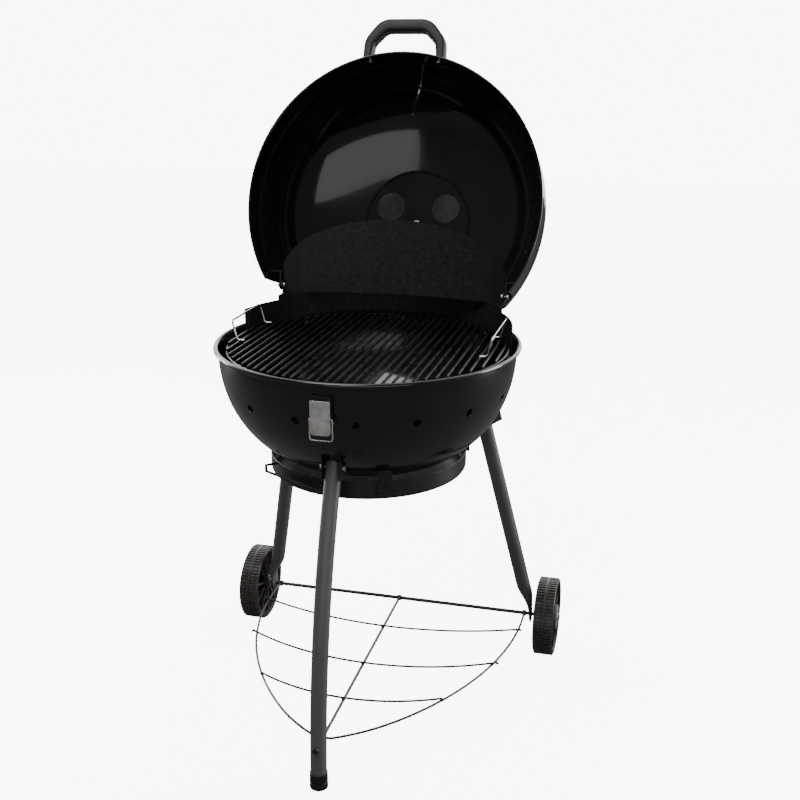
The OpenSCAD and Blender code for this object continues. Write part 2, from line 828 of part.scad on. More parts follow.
module lid_ears() {
    front = hinge_y - lid_ear_front;
    wall_x = sqrt(pow(lid_r, 2) - pow(front, 2));
    color([0.08, 0.08, 0.08]) on_lid() both_sides() difference() {
        union() {
            translate([lid_ear_x, hinge_y, hinge_z]) rotate([0, 90, 0]) cylinder(r = ear_r, h = ear_t);
            translate([lid_ear_x, front, hinge_z - 8]) cube([ear_t, lid_ear_front, 18]);
            translate([lid_ear_x, front, hinge_z - 8]) cube([wall_x - lid_ear_x - 1.6, 2, 18]);
        }
        translate([0, hinge_y, hinge_z]) rod_x(hinge_pin_r + fit, 0, far);
    }
}

module lid_handle() {
    reach = handle_reach;
    color([0.05, 0.05, 0.05]) on_lid() difference() {
        translate([0, 0, handle_z[0]]) linear_extrude(handle_z[1] - handle_z[0]) difference() {
            polygon([
                [-handle_base, 45.5 - lid_r], [-handle_base, -lid_r - 32.5], [-handle_top, -reach],
                [handle_top, -reach], [handle_base, -lid_r - 32.5], [handle_base, 45.5 - lid_r]
            ]);
            polygon([
                [handle_leg - handle_base, 55.5 - lid_r], [handle_leg - handle_base, -lid_r - 26.5],
                [8 - handle_top, handle_bar - reach], [handle_top - 8, handle_bar - reach],
                [handle_base - handle_leg, -lid_r - 26.5], [handle_base - handle_leg, 55.5 - lid_r]
            ]);
        }
        translate([0, 0, -far / 2]) cylinder(r = lid_r + sheet + 0.1, h = far, $fn = 360);
        translate([0, 0, lid_lift + 2]) ring(lid_r + sheet, 2.2);
        for (s = [-1, 1])
            translate([s * 70, 0, (handle_z[0] + handle_z[1]) / 2]) rod_y(2.6, -320, 0);
    }
}

module handle_screws() {
    wall_y = -sqrt(pow(lid_r, 2) - pow(70, 2));
    color([0.7, 0.7, 0.7]) on_lid() for (s = [-1, 1])
        translate([s * 70, 0, (handle_z[0] + handle_z[1]) / 2]) {
            rod_y(2.5, -318, wall_y + 5);
            rod_y(5, wall_y + 3, wall_y + 6);
        }
}

module lid_catch() {
    color([0.08, 0.08, 0.08]) on_lid() difference() {
        union() {
            translate([-9, -lid_r - 5, 8]) cube([18, 12, 14]);
            translate([-9, -lid_r - 6.5, 17]) cube([18, 4, 5]);
        }
        translate([0, 0, -far / 2]) cylinder(r = lid_r + sheet + 0.1, h = far, $fn = 360);
    }
}

module thermometer_bezel() {
    color([0.7, 0.7, 0.7]) on_lid() at_gauge() difference() {
        translate([0, 0, 3]) cylinder(r = gauge_r, h = 11);
        translate([0, 0, 6]) cylinder(r = gauge_r - 2.5, h = 11);
        cylinder(r = 3, h = 20);
    }
}

module thermometer_dial() {
    color([0.9, 0.9, 0.9]) on_lid() at_gauge() translate([0, 0, 8]) cylinder(r = gauge_r - 2.8, h = 1.5);
}

module thermometer_lens() {
    color([0.8, 0.85, 0.9, 0.4]) on_lid() at_gauge() translate([0, 0, 11.5])
        cylinder(r = gauge_r - 2.8, h = 1.5);
}

module thermometer_stem() {
    color([0.75, 0.75, 0.75]) on_lid() at_gauge() {
        translate([0, 0, -75]) cylinder(r = 2.2, h = 82);
        translate([0, 0, -9]) cylinder(r = 7, h = 5);
    }
}

module lid_damper() {
    color([0.45, 0.45, 0.46]) on_lid() translate([0, 0, seat_z + damper_gap]) difference() {
        union() {
            cylinder(r = damper_r, h = damper_t);
            rotate([0, 0, 150]) translate([damper_r - 12, -10, 0]) cube([2, 20, 16]);
        }
        for (a = [30, 150, 270])
            rotate([0, 0, a]) translate([vent_ring_r, 0, -1]) cylinder(r = vent_d / 2, h = 10);
        translate([0, 0, -1]) cylinder(r = 3 + fit, h = 10);
    }
}

module damper_rivet() {
    color([0.7, 0.7, 0.7]) on_lid() translate([0, 0, seat_z]) {
        translate([0, 0, -sheet - 3]) cylinder(r = 3, h = sheet + 3 + damper_gap + damper_t + 1);
        translate([0, 0, damper_gap + damper_t + 0.3]) cylinder(r = 7, h = 1.5);
        translate([0, 0, -sheet - 3]) cylinder(r = 7, h = 2.7);
    }
}

bowl();
rear_shield();
shield_band();
shield_bolts();
grate_rests();
cooking_grate();
cooking_grate_ring();
grate_handle(1);  // grate_handle_left
grate_handle(0);  // grate_handle_right
charcoal_grate();
charcoal_grate_ring();
leg_front();
rear_leg(1);  // leg_left
rear_leg(0);  // leg_right
leg_brackets();
leg_bolts();
foot_cap();
axle();
axle_nuts();
shelf_rim();
shelf_wires();
shelf_bar();
shelf_screw();
latch_base();
latch_rivets();
pan_catches();
hinge_bolts();
lid_shell();
lid_ears();
lid_handle();
handle_screws();
lid_catch();
thermometer_bezel();
thermometer_dial();
thermometer_lens();
thermometer_stem();
damper_rivet();
lid_damper();
latch_lever();
latch_bail();
wheel(1);  // wheel_left
wheel(0);  // wheel_right
hub_cap(1);  // hub_cap_left
hub_cap(0);  // hub_cap_right
ash_pan();
pan_handle();
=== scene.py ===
"""Kettle charcoal grill with its lid standing open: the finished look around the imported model.

Metres, +Z up. The sections follow the grill as it is put together, and each opens with a few
lines on the real piece.
"""

import json
from math import acos, atan2, cos, pi, radians, sin, sqrt

import bmesh
import bpy
from mathutils import Matrix, Vector


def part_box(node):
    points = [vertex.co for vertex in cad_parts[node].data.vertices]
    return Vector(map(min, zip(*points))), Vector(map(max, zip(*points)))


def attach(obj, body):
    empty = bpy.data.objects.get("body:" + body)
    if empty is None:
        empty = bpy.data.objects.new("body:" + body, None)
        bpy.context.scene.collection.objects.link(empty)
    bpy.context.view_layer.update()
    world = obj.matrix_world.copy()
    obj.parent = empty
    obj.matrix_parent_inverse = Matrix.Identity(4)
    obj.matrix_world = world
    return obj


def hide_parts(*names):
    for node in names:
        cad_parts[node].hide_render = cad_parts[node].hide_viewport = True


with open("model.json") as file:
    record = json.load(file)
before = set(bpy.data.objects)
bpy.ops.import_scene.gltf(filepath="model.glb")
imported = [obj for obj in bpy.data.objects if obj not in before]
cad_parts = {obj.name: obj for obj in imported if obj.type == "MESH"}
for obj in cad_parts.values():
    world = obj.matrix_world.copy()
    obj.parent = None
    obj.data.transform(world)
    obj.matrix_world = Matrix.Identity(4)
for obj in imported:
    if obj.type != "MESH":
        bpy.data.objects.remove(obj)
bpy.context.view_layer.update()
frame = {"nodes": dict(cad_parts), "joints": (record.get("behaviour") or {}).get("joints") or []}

scene = bpy.context.scene
MM = 0.001

# ---------------------------------------------------------------------------------------------
# Studio
# A pale floor, a bright surround behind the grill and large soft lamps above, in front and to
# both sides, so that the black enamel shows broad, calm reflections.

bowl_low, bowl_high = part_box("bowl")
BOWL_Y = (bowl_low.y + bowl_high.y) / 2
RIM_Z = bowl_high.z
AXIS = Vector((0, BOWL_Y, RIM_Z))

camera_data = bpy.data.cameras.new("camera")
camera_data.lens = 50.3
camera_data.sensor_width = 36
camera = bpy.data.objects.new("camera", camera_data)
camera.location = (0.5713, BOWL_Y - 1.9713, 1.2856)
camera.rotation_euler = (radians(72.24), 0, radians(14.47))
scene.collection.objects.link(camera)
scene.camera = camera


def lamp(name, place, target, size, power, colour=(1, 1, 1)):
    """A rectangular soft lamp at place, facing target."""
    data = bpy.data.lights.new(name, "AREA")
    data.shape = "RECTANGLE"
    data.size, data.size_y = size
    data.energy = power
    data.color = colour
    light = bpy.data.objects.new(name, data)
    light.location = place
    light.rotation_euler = (Vector(target) - Vector(place)).to_track_quat("-Z", "Y").to_euler()
    scene.collection.objects.link(light)


lamp("top_lamp", (-0.5, -1.1, 3.1), (0, 0, 0.75), (1.5, 1.2), 34)
lamp("left_lamp", (-2.5, 0.9, 0.9), (0, 0, 0.7), (1.0, 2.2), 40)
lamp("right_lamp", (2.5, 1.0, 0.9), (0, 0, 0.6), (1.0, 2.2), 46)
lamp("front_lamp", (1.0, -3.6, 1.2), (0, 0, 0.9), (4.2, 2.2), 30, (1.0, 0.97, 1.0))


def new_nodes(owner):
    """An empty node tree on a material or a world, ready for a maker's own nodes."""
    owner.use_nodes = True
    owner.node_tree.nodes.clear()
    return owner.node_tree.nodes, owner.node_tree.links


world = bpy.data.worlds.new("studio")
scene.world = world
nodes, links = new_nodes(world)
surround = nodes.new("ShaderNodeBackground")
surround.inputs["Color"].default_value = (1, 1, 1, 1)
sky = nodes.new("ShaderNodeTexCoord")
sky_way = nodes.new("ShaderNodeSeparateXYZ")
sky_ramp = nodes.new("ShaderNodeMapRange")
sky_ramp.interpolation_type = "SMOOTHSTEP"
sky_ramp.inputs["From Min"].default_value = -0.25
sky_ramp.inputs["From Max"].default_value = 0.75
sky_ramp.inputs["To Min"].default_value = 0.10
sky_ramp.inputs["To Max"].default_value = 2.2
links.new(sky.outputs["Generated"], sky_way.inputs[0])
links.new(sky_way.outputs["Y"], sky_ramp.inputs["Value"])
links.new(sky_ramp.outputs[0], surround.inputs["Strength"])
backdrop = nodes.new("ShaderNodeBackground")
backdrop.inputs["Color"].default_value = (1, 1, 1, 1)
backdrop.inputs["Strength"].default_value = 9
seen = nodes.new("ShaderNodeLightPath")
choice = nodes.new("ShaderNodeMixShader")
world_out = nodes.new("ShaderNodeOutputWorld")
links.new(seen.outputs["Is Camera Ray"], choice.inputs["Fac"])
links.new(surround.outputs[0], choice.inputs[1])
links.new(backdrop.outputs[0], choice.inputs[2])
links.new(choice.outputs[0], world_out.inputs["Surface"])

floor_mesh = bpy.data.meshes.new("floor")
FLOOR = 9
floor_mesh.from_pydata(
    [(-FLOOR, -FLOOR, 0), (FLOOR, -FLOOR, 0), (FLOOR, FLOOR, 0), (-FLOOR, FLOOR, 0)],
    [],
    [(0, 1, 2, 3)],
)
floor = bpy.data.objects.new("floor", floor_mesh)
scene.collection.objects.link(floor)
floor_paint = bpy.data.materials.new("floor_paint")
nodes, links = new_nodes(floor_paint)
floor_shader = nodes.new("ShaderNodeBsdfPrincipled")
floor_shader.inputs["Base Color"].default_value = (0.80, 0.80, 0.80, 1)
floor_shader.inputs["Roughness"].default_value = 0.8
floor_shader.inputs["Specular IOR Level"].default_value = 0.1
floor_glow = nodes.new("ShaderNodeEmission")
floor_glow.inputs["Strength"].default_value = 8
floor_seen = nodes.new("ShaderNodeLightPath")
floor_dark = nodes.new("ShaderNodeBsdfDiffuse")
floor_dark.inputs["Color"].default_value = (0.10, 0.10, 0.10, 1)
floor_sum = nodes.new("ShaderNodeAddShader")
floor_choice = nodes.new("ShaderNodeMixShader")
floor_out = nodes.new("ShaderNodeOutputMaterial")
links.new(floor_shader.outputs[0], floor_sum.inputs[0])
links.new(floor_glow.outputs[0], floor_sum.inputs[1])
links.new(floor_seen.outputs["Is Camera Ray"], floor_choice.inputs["Fac"])
links.new(floor_dark.outputs[0], floor_choice.inputs[1])
links.new(floor_sum.outputs[0], floor_choice.inputs[2])
links.new(floor_choice.outputs[0], floor_out.inputs["Surface"])
floor_mesh.materials.append(floor_paint)

# ---------------------------------------------------------------------------------------------
# Bowl
# Deep-drawn sheet steel with a rolled bead around its mouth, fired with glossy black enamel
# inside and out. Eight round air holes are punched across its front, and the bottom is open
# over the ash pan.

SHEET = 1.5 * MM
BEAD_R = 4.5 * MM
BOWL_R = bowl_high.x - 2 * BEAD_R + SHEET / 2
BOWL_DEPTH = 250 * MM
BOWL_POWER = 2.25
ASH_HOLE_R = 174 * MM
AIR_HOLES = 8
AIR_HOLE_R = 7.5 * MM
AIR_HOLE_DEPTH = 78 * MM
TURN = 2 * pi


def shader_group(name, inputs, outputs):
    """A shader node group with float inputs and outputs, plus its input and output nodes."""
    group = bpy.data.node_groups.new(name, "ShaderNodeTree")
    for label, value in inputs:
        socket = group.interface.new_socket(label, in_out="INPUT", socket_type="NodeSocketFloat")
        socket.default_value = value
    for label in outputs:
        group.interface.new_socket(label, in_out="OUTPUT", socket_type="NodeSocketFloat")
    return group, group.nodes.new("NodeGroupInput"), group.nodes.new("NodeGroupOutput")


def math_node(tree, operation, first, second=None, clamp=False):
    """A Math node; each operand is a socket or a number."""
    node = tree.nodes.new("ShaderNodeMath")
    node.operation = operation
    node.use_clamp = clamp
    for socket, value in zip(node.inputs, (first, second)):
        if value is None:
            continue
        if isinstance(value, (int, float)):
            socket.default_value = value
        else:
            tree.links.new(value, socket)
    return node.outputs[0]


def noise(tree, vector, scale, detail=3.0, rough=0.55):
    """A noise texture's value; scale is a socket or a number."""
    node = tree.nodes.new("ShaderNodeTexNoise")
    node.inputs["Detail"].default_value = detail
    node.inputs["Roughness"].default_value = rough
    tree.links.new(vector, node.inputs["Vector"])
    if isinstance(scale, (int, float)):
        node.inputs["Scale"].default_value = scale
    else:
        tree.links.new(scale, node.inputs["Scale"])
    return node.outputs["Fac"]


# Grain: the fine relief of a coat of paint, enamel or moulded plastic, and its broad patches
grain_group, grain_in, grain_out = shader_group(
    "grain", [("Fine Scale", 900.0), ("Broad Scale", 9.0)], ["Height", "Patch"]
)
grain_at = grain_group.nodes.new("ShaderNodeTexCoord").outputs["Object"]
fine = noise(grain_group, grain_at, grain_in.outputs["Fine Scale"], 2.0)
broad = noise(grain_group, grain_at, grain_in.outputs["Broad Scale"], 4.0)
grain_group.links.new(fine, grain_out.inputs["Height"])
grain_group.links.new(
    math_node(grain_group, "MULTIPLY", math_node(grain_group, "SUBTRACT", broad, 0.36), 3.4, True),
    grain_out.inputs["Patch"],
)

# Dust: a thin film that settles on faces that look up
dust_group, dust_in, dust_out = shader_group(
    "dust", [("Scale", 45.0), ("Amount", 0.3)], ["Mask"]
)
dust_at = dust_group.nodes.new("ShaderNodeTexCoord").outputs["Object"]
dust_face = dust_group.nodes.new("ShaderNodeNewGeometry").outputs["True Normal"]
dust_split = dust_group.nodes.new("ShaderNodeSeparateXYZ")
dust_group.links.new(dust_face, dust_split.inputs[0])
dust_up = math_node(dust_group, "MAXIMUM", dust_split.outputs["Z"], 0.0)
dust_spots = noise(dust_group, dust_at, dust_in.outputs["Scale"], 5.0, 0.7)
dust_spots = math_node(
    dust_group, "MULTIPLY", math_node(dust_group, "SUBTRACT", dust_spots, 0.42), 4.0, True
)
dust_mask = math_node(dust_group, "MULTIPLY", dust_up, dust_spots)
dust_group.links.new(
    math_node(dust_group, "MULTIPLY", dust_mask, dust_in.outputs["Amount"]), dust_out.inputs["Mask"]
)

# Wear: corners that are rubbed, broken up by noise
wear_group, wear_in, wear_out = shader_group(
    "wear", [("Scale", 130.0), ("Amount", 0.5)], ["Mask"]
)
wear_at = wear_group.nodes.new("ShaderNodeTexCoord").outputs["Object"]
wear_edge = wear_group.nodes.new("ShaderNodeNewGeometry").outputs["Pointiness"]
wear_edge = math_node(
    wear_group, "MULTIPLY", math_node(wear_group, "SUBTRACT", wear_edge, 0.53), 9.0, True
)
wear_spots = noise(wear_group, wear_at, wear_in.outputs["Scale"], 5.0, 0.7)
wear_spots = math_node(
    wear_group, "MULTIPLY", math_node(wear_group, "SUBTRACT", wear_spots, 0.4), 5.0, True
)
wear_mask = math_node(wear_group, "MULTIPLY", wear_edge, wear_spots)
wear_group.links.new(
    math_node(wear_group, "MULTIPLY", wear_mask, wear_in.outputs["Amount"]), wear_out.inputs["Mask"]
)


def finish(name, colour, patch, rough, relief, scales, metallic=0.0, coat=None, dust=0.0,
           wear=0.0, bare=(0.35, 0.35, 0.36), specular=0.5):
    """A finish: two shades in broad patches, a roughness range, fine relief, dust and wear."""
    made = bpy.data.materials.new(name)
    nodes, links = new_nodes(made)
    tree = made.node_tree
    shader = nodes.new("ShaderNodeBsdfPrincipled")
    out = nodes.new("ShaderNodeOutputMaterial")
    links.new(shader.outputs[0], out.inputs["Surface"])
    grain = nodes.new("ShaderNodeGroup")
    grain.node_tree = grain_group
    grain.inputs["Fine Scale"].default_value, grain.inputs["Broad Scale"].default_value = scales

    def blend(factor, first, second):
        mix = nodes.new("ShaderNodeMix")
        mix.data_type = "RGBA"
        links.new(factor, mix.inputs["Factor"])
        for socket, value in ((mix.inputs["A"], first), (mix.inputs["B"], second)):
            if isinstance(value, tuple):
                socket.default_value = (*value, 1)
            else:
                links.new(value, socket)
        return mix.outputs["Result"]

    shade = blend(grain.outputs["Patch"], colour, patch)
    spread = nodes.new("ShaderNodeMapRange")
    links.new(grain.outputs["Patch"], spread.inputs["Value"])
    spread.inputs["To Min"].default_value, spread.inputs["To Max"].default_value = rough
    rub = spread.outputs[0]
    if dust:
        film = nodes.new("ShaderNodeGroup")
        film.node_tree = dust_group
        film.inputs["Amount"].default_value = dust
        shade = blend(film.outputs["Mask"], shade, (0.22, 0.21, 0.2))
        rub = math_node(tree, "ADD", rub, film.outputs["Mask"], True)
    if wear:
        edge = nodes.new("ShaderNodeGroup")
        edge.node_tree = wear_group
        edge.inputs["Amount"].default_value = wear
        shade = blend(edge.outputs["Mask"], shade, bare)
    links.new(shade, shader.inputs["Base Color"])
    links.new(rub, shader.inputs["Roughness"])
    shader.inputs["Metallic"].default_value = metallic
    shader.inputs["Specular IOR Level"].default_value = specular
    if coat:
        shader.inputs["Coat Weight"].default_value, shader.inputs["Coat Roughness"].default_value = coat
    bump = nodes.new("ShaderNodeBump")
    bump.inputs["Strength"].default_value = 0.35
    bump.inputs["Distance"].default_value = relief
    links.new(grain.outputs["Height"], bump.inputs["Height"])
    links.new(bump.outputs[0], shader.inputs["Normal"])
    return made


enamel = finish(
    "black_enamel", (0.006, 0.006, 0.0075), (0.010, 0.0095, 0.010), (0.10, 0.17), 0.06 * MM,
    (260.0, 7.0), coat=(0.6, 0.04), dust=0.008,
)


def oval_curve(radius, height, power, end_radius, steps):
    """Points (radius, height) along a superellipse from its widest place to end_radius."""
    end = acos((end_radius / radius) ** (power / 2))
    turns = [end * k / steps for k in range(steps + 1)]
    return [(radius * cos(t) ** (2 / power), height * sin(t) ** (2 / power)) for t in turns]


def circle_points(centre, radius, start, sweep, steps):
    """Points (u, v) on a stretch of a circle, angles in degrees."""
    turns = [radians(start + sweep * k / steps) for k in range(steps + 1)]
    return [(centre[0] + radius * cos(t), centre[1] + radius * sin(t)) for t in turns]


def spin(outline, steps, closed=True):
    """A surface of revolution about Z as a bmesh; points on the axis become poles."""
    bm = bmesh.new()
    rings = []
    for radius, height in outline:
        if radius < 1e-6:
            rings.append([bm.verts.new((0, 0, height))])
            continue
        turns = [TURN * k / steps for k in range(steps)]
        rings.append([bm.verts.new((radius * cos(t), radius * sin(t), height)) for t in turns])
    following = rings[1:] + (rings[:1] if closed else [])
    for low, high in zip(rings, following):
        for k in range(steps):
            corners = [low[k % len(low)], low[(k + 1) % len(low)]]
            corners += [high[(k + 1) % len(high)], high[k % len(high)]]
            corners = list(dict.fromkeys(corners))
            if len(corners) > 2:
                bm.faces.new(corners)
    bmesh.ops.recalc_face_normals(bm, faces=bm.faces)
    return bm


def as_object(name, bm):
    """A new object in the scene that holds the bmesh."""
    mesh = bpy.data.meshes.new(name)
    bm.to_mesh(mesh)
    bm.free()
    made = bpy.data.objects.new(name, mesh)
    scene.collection.objects.link(made)
    return made


def settle(made):
    """Applies an object's modifiers to its mesh."""
    depsgraph = bpy.context.evaluated_depsgraph_get()
    mesh = bpy.data.meshes.new_from_object(made.evaluated_get(depsgraph))
    made.modifiers.clear()
    made.data = mesh
    return made


def cut(made, *cutters):
    """Takes the cutters' shapes out of an object, and deletes the cutters."""
    for cutter in cutters:
        modifier = made.modifiers.new("cut", "BOOLEAN")
        modifier.operation = "DIFFERENCE"
        modifier.solver = "EXACT"
        modifier.object = cutter
        settle(made)
        bpy.data.objects.remove(cutter)
    return made


def smooth(made, angle=35):
    """Smooth shading with sharp edges past the angle, evened out over large faces."""
    made.data.polygons.foreach_set("use_smooth", [True] * len(made.data.polygons))
    made.data.set_sharp_from_angle(angle=radians(angle))
    weighted = made.modifiers.new("even", "WEIGHTED_NORMAL")
    weighted.keep_sharp = True
    return settle(made)


def place(made, matrix):
    """Moves an object's mesh, so that the object itself stays at the origin."""
    made.data.transform(matrix)
    return made


def fit_out(made, material, body, slot, *stands_for):
    """Gives a finished piece its material, its body and the nodes that it stands for; the slot is not used.
    """
    made.data.materials.clear()
    made.data.materials.append(material)
    for polygon in made.data.polygons:
        polygon.material_index = 0
    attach(made, body)
    if stands_for:
        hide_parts(*stands_for)
    return made


def paint(material, *cad_nodes):
    """Gives CAD nodes that keep their shape a better material."""
    for name in cad_nodes:
        slots = frame["nodes"][name].data.materials
        slots.clear()
        slots.append(material)


def drum(radius, low, high, matrix=None, steps=48):
    """A cylinder along Z, used as a cutter or as a plain pin."""
    made = as_object("drum", spin([(0, low), (radius, low), (radius, high), (0, high)], steps, False))
    return place(made, matrix or Matrix.Identity(4))


AT_BOWL = Matrix.Translation(AXIS)
outer = [(r, -d) for r, d in oval_curve(BOWL_R, BOWL_DEPTH, BOWL_POWER, ASH_HOLE_R, 64)]
inner = [
    (r, -d)
    for r, d in oval_curve(BOWL_R - SHEET, BOWL_DEPTH - SHEET, BOWL_POWER, ASH_HOLE_R - SHEET, 64)
]
bead = circle_points((BOWL_R + BEAD_R - SHEET / 2, -BEAD_R), BEAD_R, 180, -330, 22)
outer = [p for p in outer if p[1] < bead[-1][1]]
inner = [p for p in inner if p[1] < -BEAD_R]
bowl = as_object("bowl_shell", spin(bead + outer + inner[::-1], 288))
for k in range(AIR_HOLES):
    turn = Matrix.Rotation(-pi + pi * (k + 0.5) / AIR_HOLES, 4, "Z")
    slope = Matrix.Translation((BOWL_R - 12 * MM, 0, -AIR_HOLE_DEPTH)) @ Matrix.Rotation(pi / 2, 4, "Y")
    cut(bowl, drum(AIR_HOLE_R, -0.03, 0.03, turn @ slope))
smooth(bowl)
place(bowl, AT_BOWL)
fit_out(bowl, enamel, "frame", "enamel", "bowl")

# ---------------------------------------------------------------------------------------------
# Rear shield
# Two pressings of matte black sheet steel that close the gap behind the hinged lid: a band
# inside the bowl's mouth, and a bowed plate above it, bolted through the bowl's wall.

matte_black = finish(
    "matte_black_paint", (0.0085, 0.0085, 0.009), (0.0105, 0.010, 0.010), (0.50, 0.60), 0.12 * MM,
    (1500.0, 6.0), dust=0.003, wear=0.05, specular=0.35,
)
zinc = finish(
    "zinc_plate", (0.50, 0.50, 0.50), (0.60, 0.59, 0.57), (0.26, 0.42), 0.03 * MM,
    (1800.0, 60.0), metallic=1.0, dust=0.1,
)
paint(matte_black, "rear_shield", "shield_band", "grate_rests", "leg_brackets", "latch_base")
paint(matte_black, "pan_catches", "lid_ears", "lid_catch", "pan_handle")
paint(zinc, "shield_bolts", "leg_bolts", "axle_nuts", "hinge_bolts", "handle_screws", "damper_rivet")

# ---------------------------------------------------------------------------------------------
# Grates
# Straight steel rods welded across a ring, coated black. Two bright wire loops on the cooking
# grate lift it out. The charcoal grate below is the same make with wider gaps.

grate_black = finish(
    "grate_coat", (0.010, 0.010, 0.011), (0.020, 0.019, 0.019), (0.24, 0.38), 0.10 * MM,
    (700.0, 30.0), coat=(0.3, 0.2), dust=0.02,
)
chrome = finish(
    "bright_chrome", (0.78, 0.78, 0.79), (0.70, 0.70, 0.71), (0.07, 0.16), 0.02 * MM,
    (900.0, 40.0), metallic=1.0,
)
GRATE_RING_WIRE = 3 * MM
ROD_R = 2.5 * MM


def geometry_tree(name, sizes):
    """A geometry node tree with named sizes and a material; gives the tree, its ends and a linker."""
    tree = bpy.data.node_groups.new(name, "GeometryNodeTree")
    tree.interface.new_socket("Geometry", in_out="INPUT", socket_type="NodeSocketGeometry")
    tree.interface.new_socket("Geometry", in_out="OUTPUT", socket_type="NodeSocketGeometry")
    for label, kind in sizes:
        tree.interface.new_socket(label, in_out="INPUT", socket_type=kind)
    tree.interface.new_socket("Material", in_out="INPUT", socket_type="NodeSocketMaterial")
    start, end = tree.nodes.new("NodeGroupInput"), tree.nodes.new("NodeGroupOutput")

    def add(kind, settings=None, **wires):
        node = tree.nodes.new(kind)
        for key, value in (settings or {}).items():
            setattr(node, key, value)
        for label, value in wires.items():
            socket = node.inputs[int(label[1:])] if label[0] == "i" and label[1:].isdigit() else (
                node.inputs[label.replace("_", " ")]
            )
            if isinstance(value, bpy.types.NodeSocket):
                tree.links.new(value, socket)
            else:
                socket.default_value = value
        return node

    return tree, start.outputs, end.inputs, add


def grow(name, tree, values, seed_mesh=None):
    """Runs a tree on a new object with the given inputs, and keeps the plain mesh."""
    made = bpy.data.objects.new(name, seed_mesh or bpy.data.meshes.new(name))
    scene.collection.objects.link(made)
    modifier = made.modifiers.new(name, "NODES")
    modifier.node_group = tree
    for item in tree.interface.items_tree:
        if item.in_out == "INPUT" and item.name in values:
            modifier[item.identifier] = values[item.name]
    return settle(made)


FLOAT, WHOLE = "NodeSocketFloat", "NodeSocketInt"
grate_tree, given, result, add = geometry_tree(
    "rod_grate",
    [("Ring Radius", FLOAT), ("Ring Wire", FLOAT), ("Rod Radius", FLOAT), ("Pitch", FLOAT),
     ("Count", WHOLE)],
)
half_span = add("ShaderNodeMath", {"operation": "MULTIPLY"}, i0=given["Count"], i1=given["Pitch"])
half_span = add("ShaderNodeMath", {"operation": "MULTIPLY_ADD"}, i0=half_span.outputs[0], i1=-0.5)
half_pitch = add("ShaderNodeMath", {"operation": "MULTIPLY"}, i0=given["Pitch"], i1=0.5)
grate_tree.links.new(half_pitch.outputs[0], half_span.inputs[2])
first_rod = add("ShaderNodeCombineXYZ", X=half_span.outputs[0])
rod_step = add("ShaderNodeCombineXYZ", X=given["Pitch"])
rod_places = add(
    "GeometryNodeMeshLine", {"mode": "OFFSET"}, Count=given["Count"],
    Start_Location=first_rod.outputs[0], Offset=rod_step.outputs[0],
)
rod_x = add("ShaderNodeSeparateXYZ", i0=add("GeometryNodeInputPosition").outputs[0])
rod_x2 = add("ShaderNodeMath", {"operation": "MULTIPLY"}, i0=rod_x.outputs[0], i1=rod_x.outputs[0])
ring_2 = add(
    "ShaderNodeMath", {"operation": "MULTIPLY"}, i0=given["Ring Radius"], i1=given["Ring Radius"]
)
chord_2 = add("ShaderNodeMath", {"operation": "SUBTRACT"}, i0=ring_2.outputs[0], i1=rod_x2.outputs[0])
chord = add("ShaderNodeMath", {"operation": "SQRT"}, i0=chord_2.outputs[0])
rod_size = add("ShaderNodeCombineXYZ", X=1.0, Y=chord.outputs[0], Z=1.0)
rod_line = add("GeometryNodeCurvePrimitiveLine", Start=(0, -1, 0), End=(0, 1, 0))
rods = add(
    "GeometryNodeInstanceOnPoints", Points=rod_places.outputs[0], Instance=rod_line.outputs[0],
    Scale=rod_size.outputs[0],
)
rods = add("GeometryNodeRealizeInstances", Geometry=rods.outputs[0])
rod_round = add("GeometryNodeCurvePrimitiveCircle", Resolution=14, Radius=given["Rod Radius"])
rods = add(
    "GeometryNodeCurveToMesh", Curve=rods.outputs[0], Profile_Curve=rod_round.outputs[0],
    Fill_Caps=True,
)
rod_rise = add("ShaderNodeMath", {"operation": "ADD"}, i0=given["Ring Wire"], i1=given["Rod Radius"])
rod_rise = add("ShaderNodeCombineXYZ", Z=rod_rise.outputs[0])
rods = add("GeometryNodeTransform", Geometry=rods.outputs[0], Translation=rod_rise.outputs[0])
ring_line = add("GeometryNodeCurvePrimitiveCircle", Resolution=180, Radius=given["Ring Radius"])
ring_round = add("GeometryNodeCurvePrimitiveCircle", Resolution=16, Radius=given["Ring Wire"])
ring = add(
    "GeometryNodeCurveToMesh", Curve=ring_line.outputs[0], Profile_Curve=ring_round.outputs[0]
)
both = add("GeometryNodeJoinGeometry")
grate_tree.links.new(rods.outputs[0], both.inputs[0])
grate_tree.links.new(ring.outputs[0], both.inputs[0])
shaded = add("GeometryNodeSetShadeSmooth", Geometry=both.outputs[0])
coated = add("GeometryNodeSetMaterial", Geometry=shaded.outputs[0], Material=given["Material"])
grate_tree.links.new(coated.outputs[0], result[0])


def rod_grate(name, node, pitch):
    """A round grate that fills the place of its CAD node."""
    low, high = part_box(node + "_ring")
    ring_r = (high.x - low.x) / 2 - GRATE_RING_WIRE
    count = 2 * int((ring_r - 6 * MM) / pitch) + 1
    made = grow(name, grate_tree, {
        "Ring Radius": ring_r, "Ring Wire": GRATE_RING_WIRE, "Rod Radius": ROD_R,
        "Pitch": pitch, "Count": count, "Material": grate_black,
    })
    made.data.set_sharp_from_angle(angle=radians(50))
    place(made, Matrix.Translation((0, BOWL_Y, low.z + GRATE_RING_WIRE)))
    return fit_out(made, grate_black, "frame", "grate_black", node, node + "_ring")


rod_grate("cooking_grate_rods", "cooking_grate", 16 * MM)
rod_grate("charcoal_grate_rods", "charcoal_grate", 22 * MM)


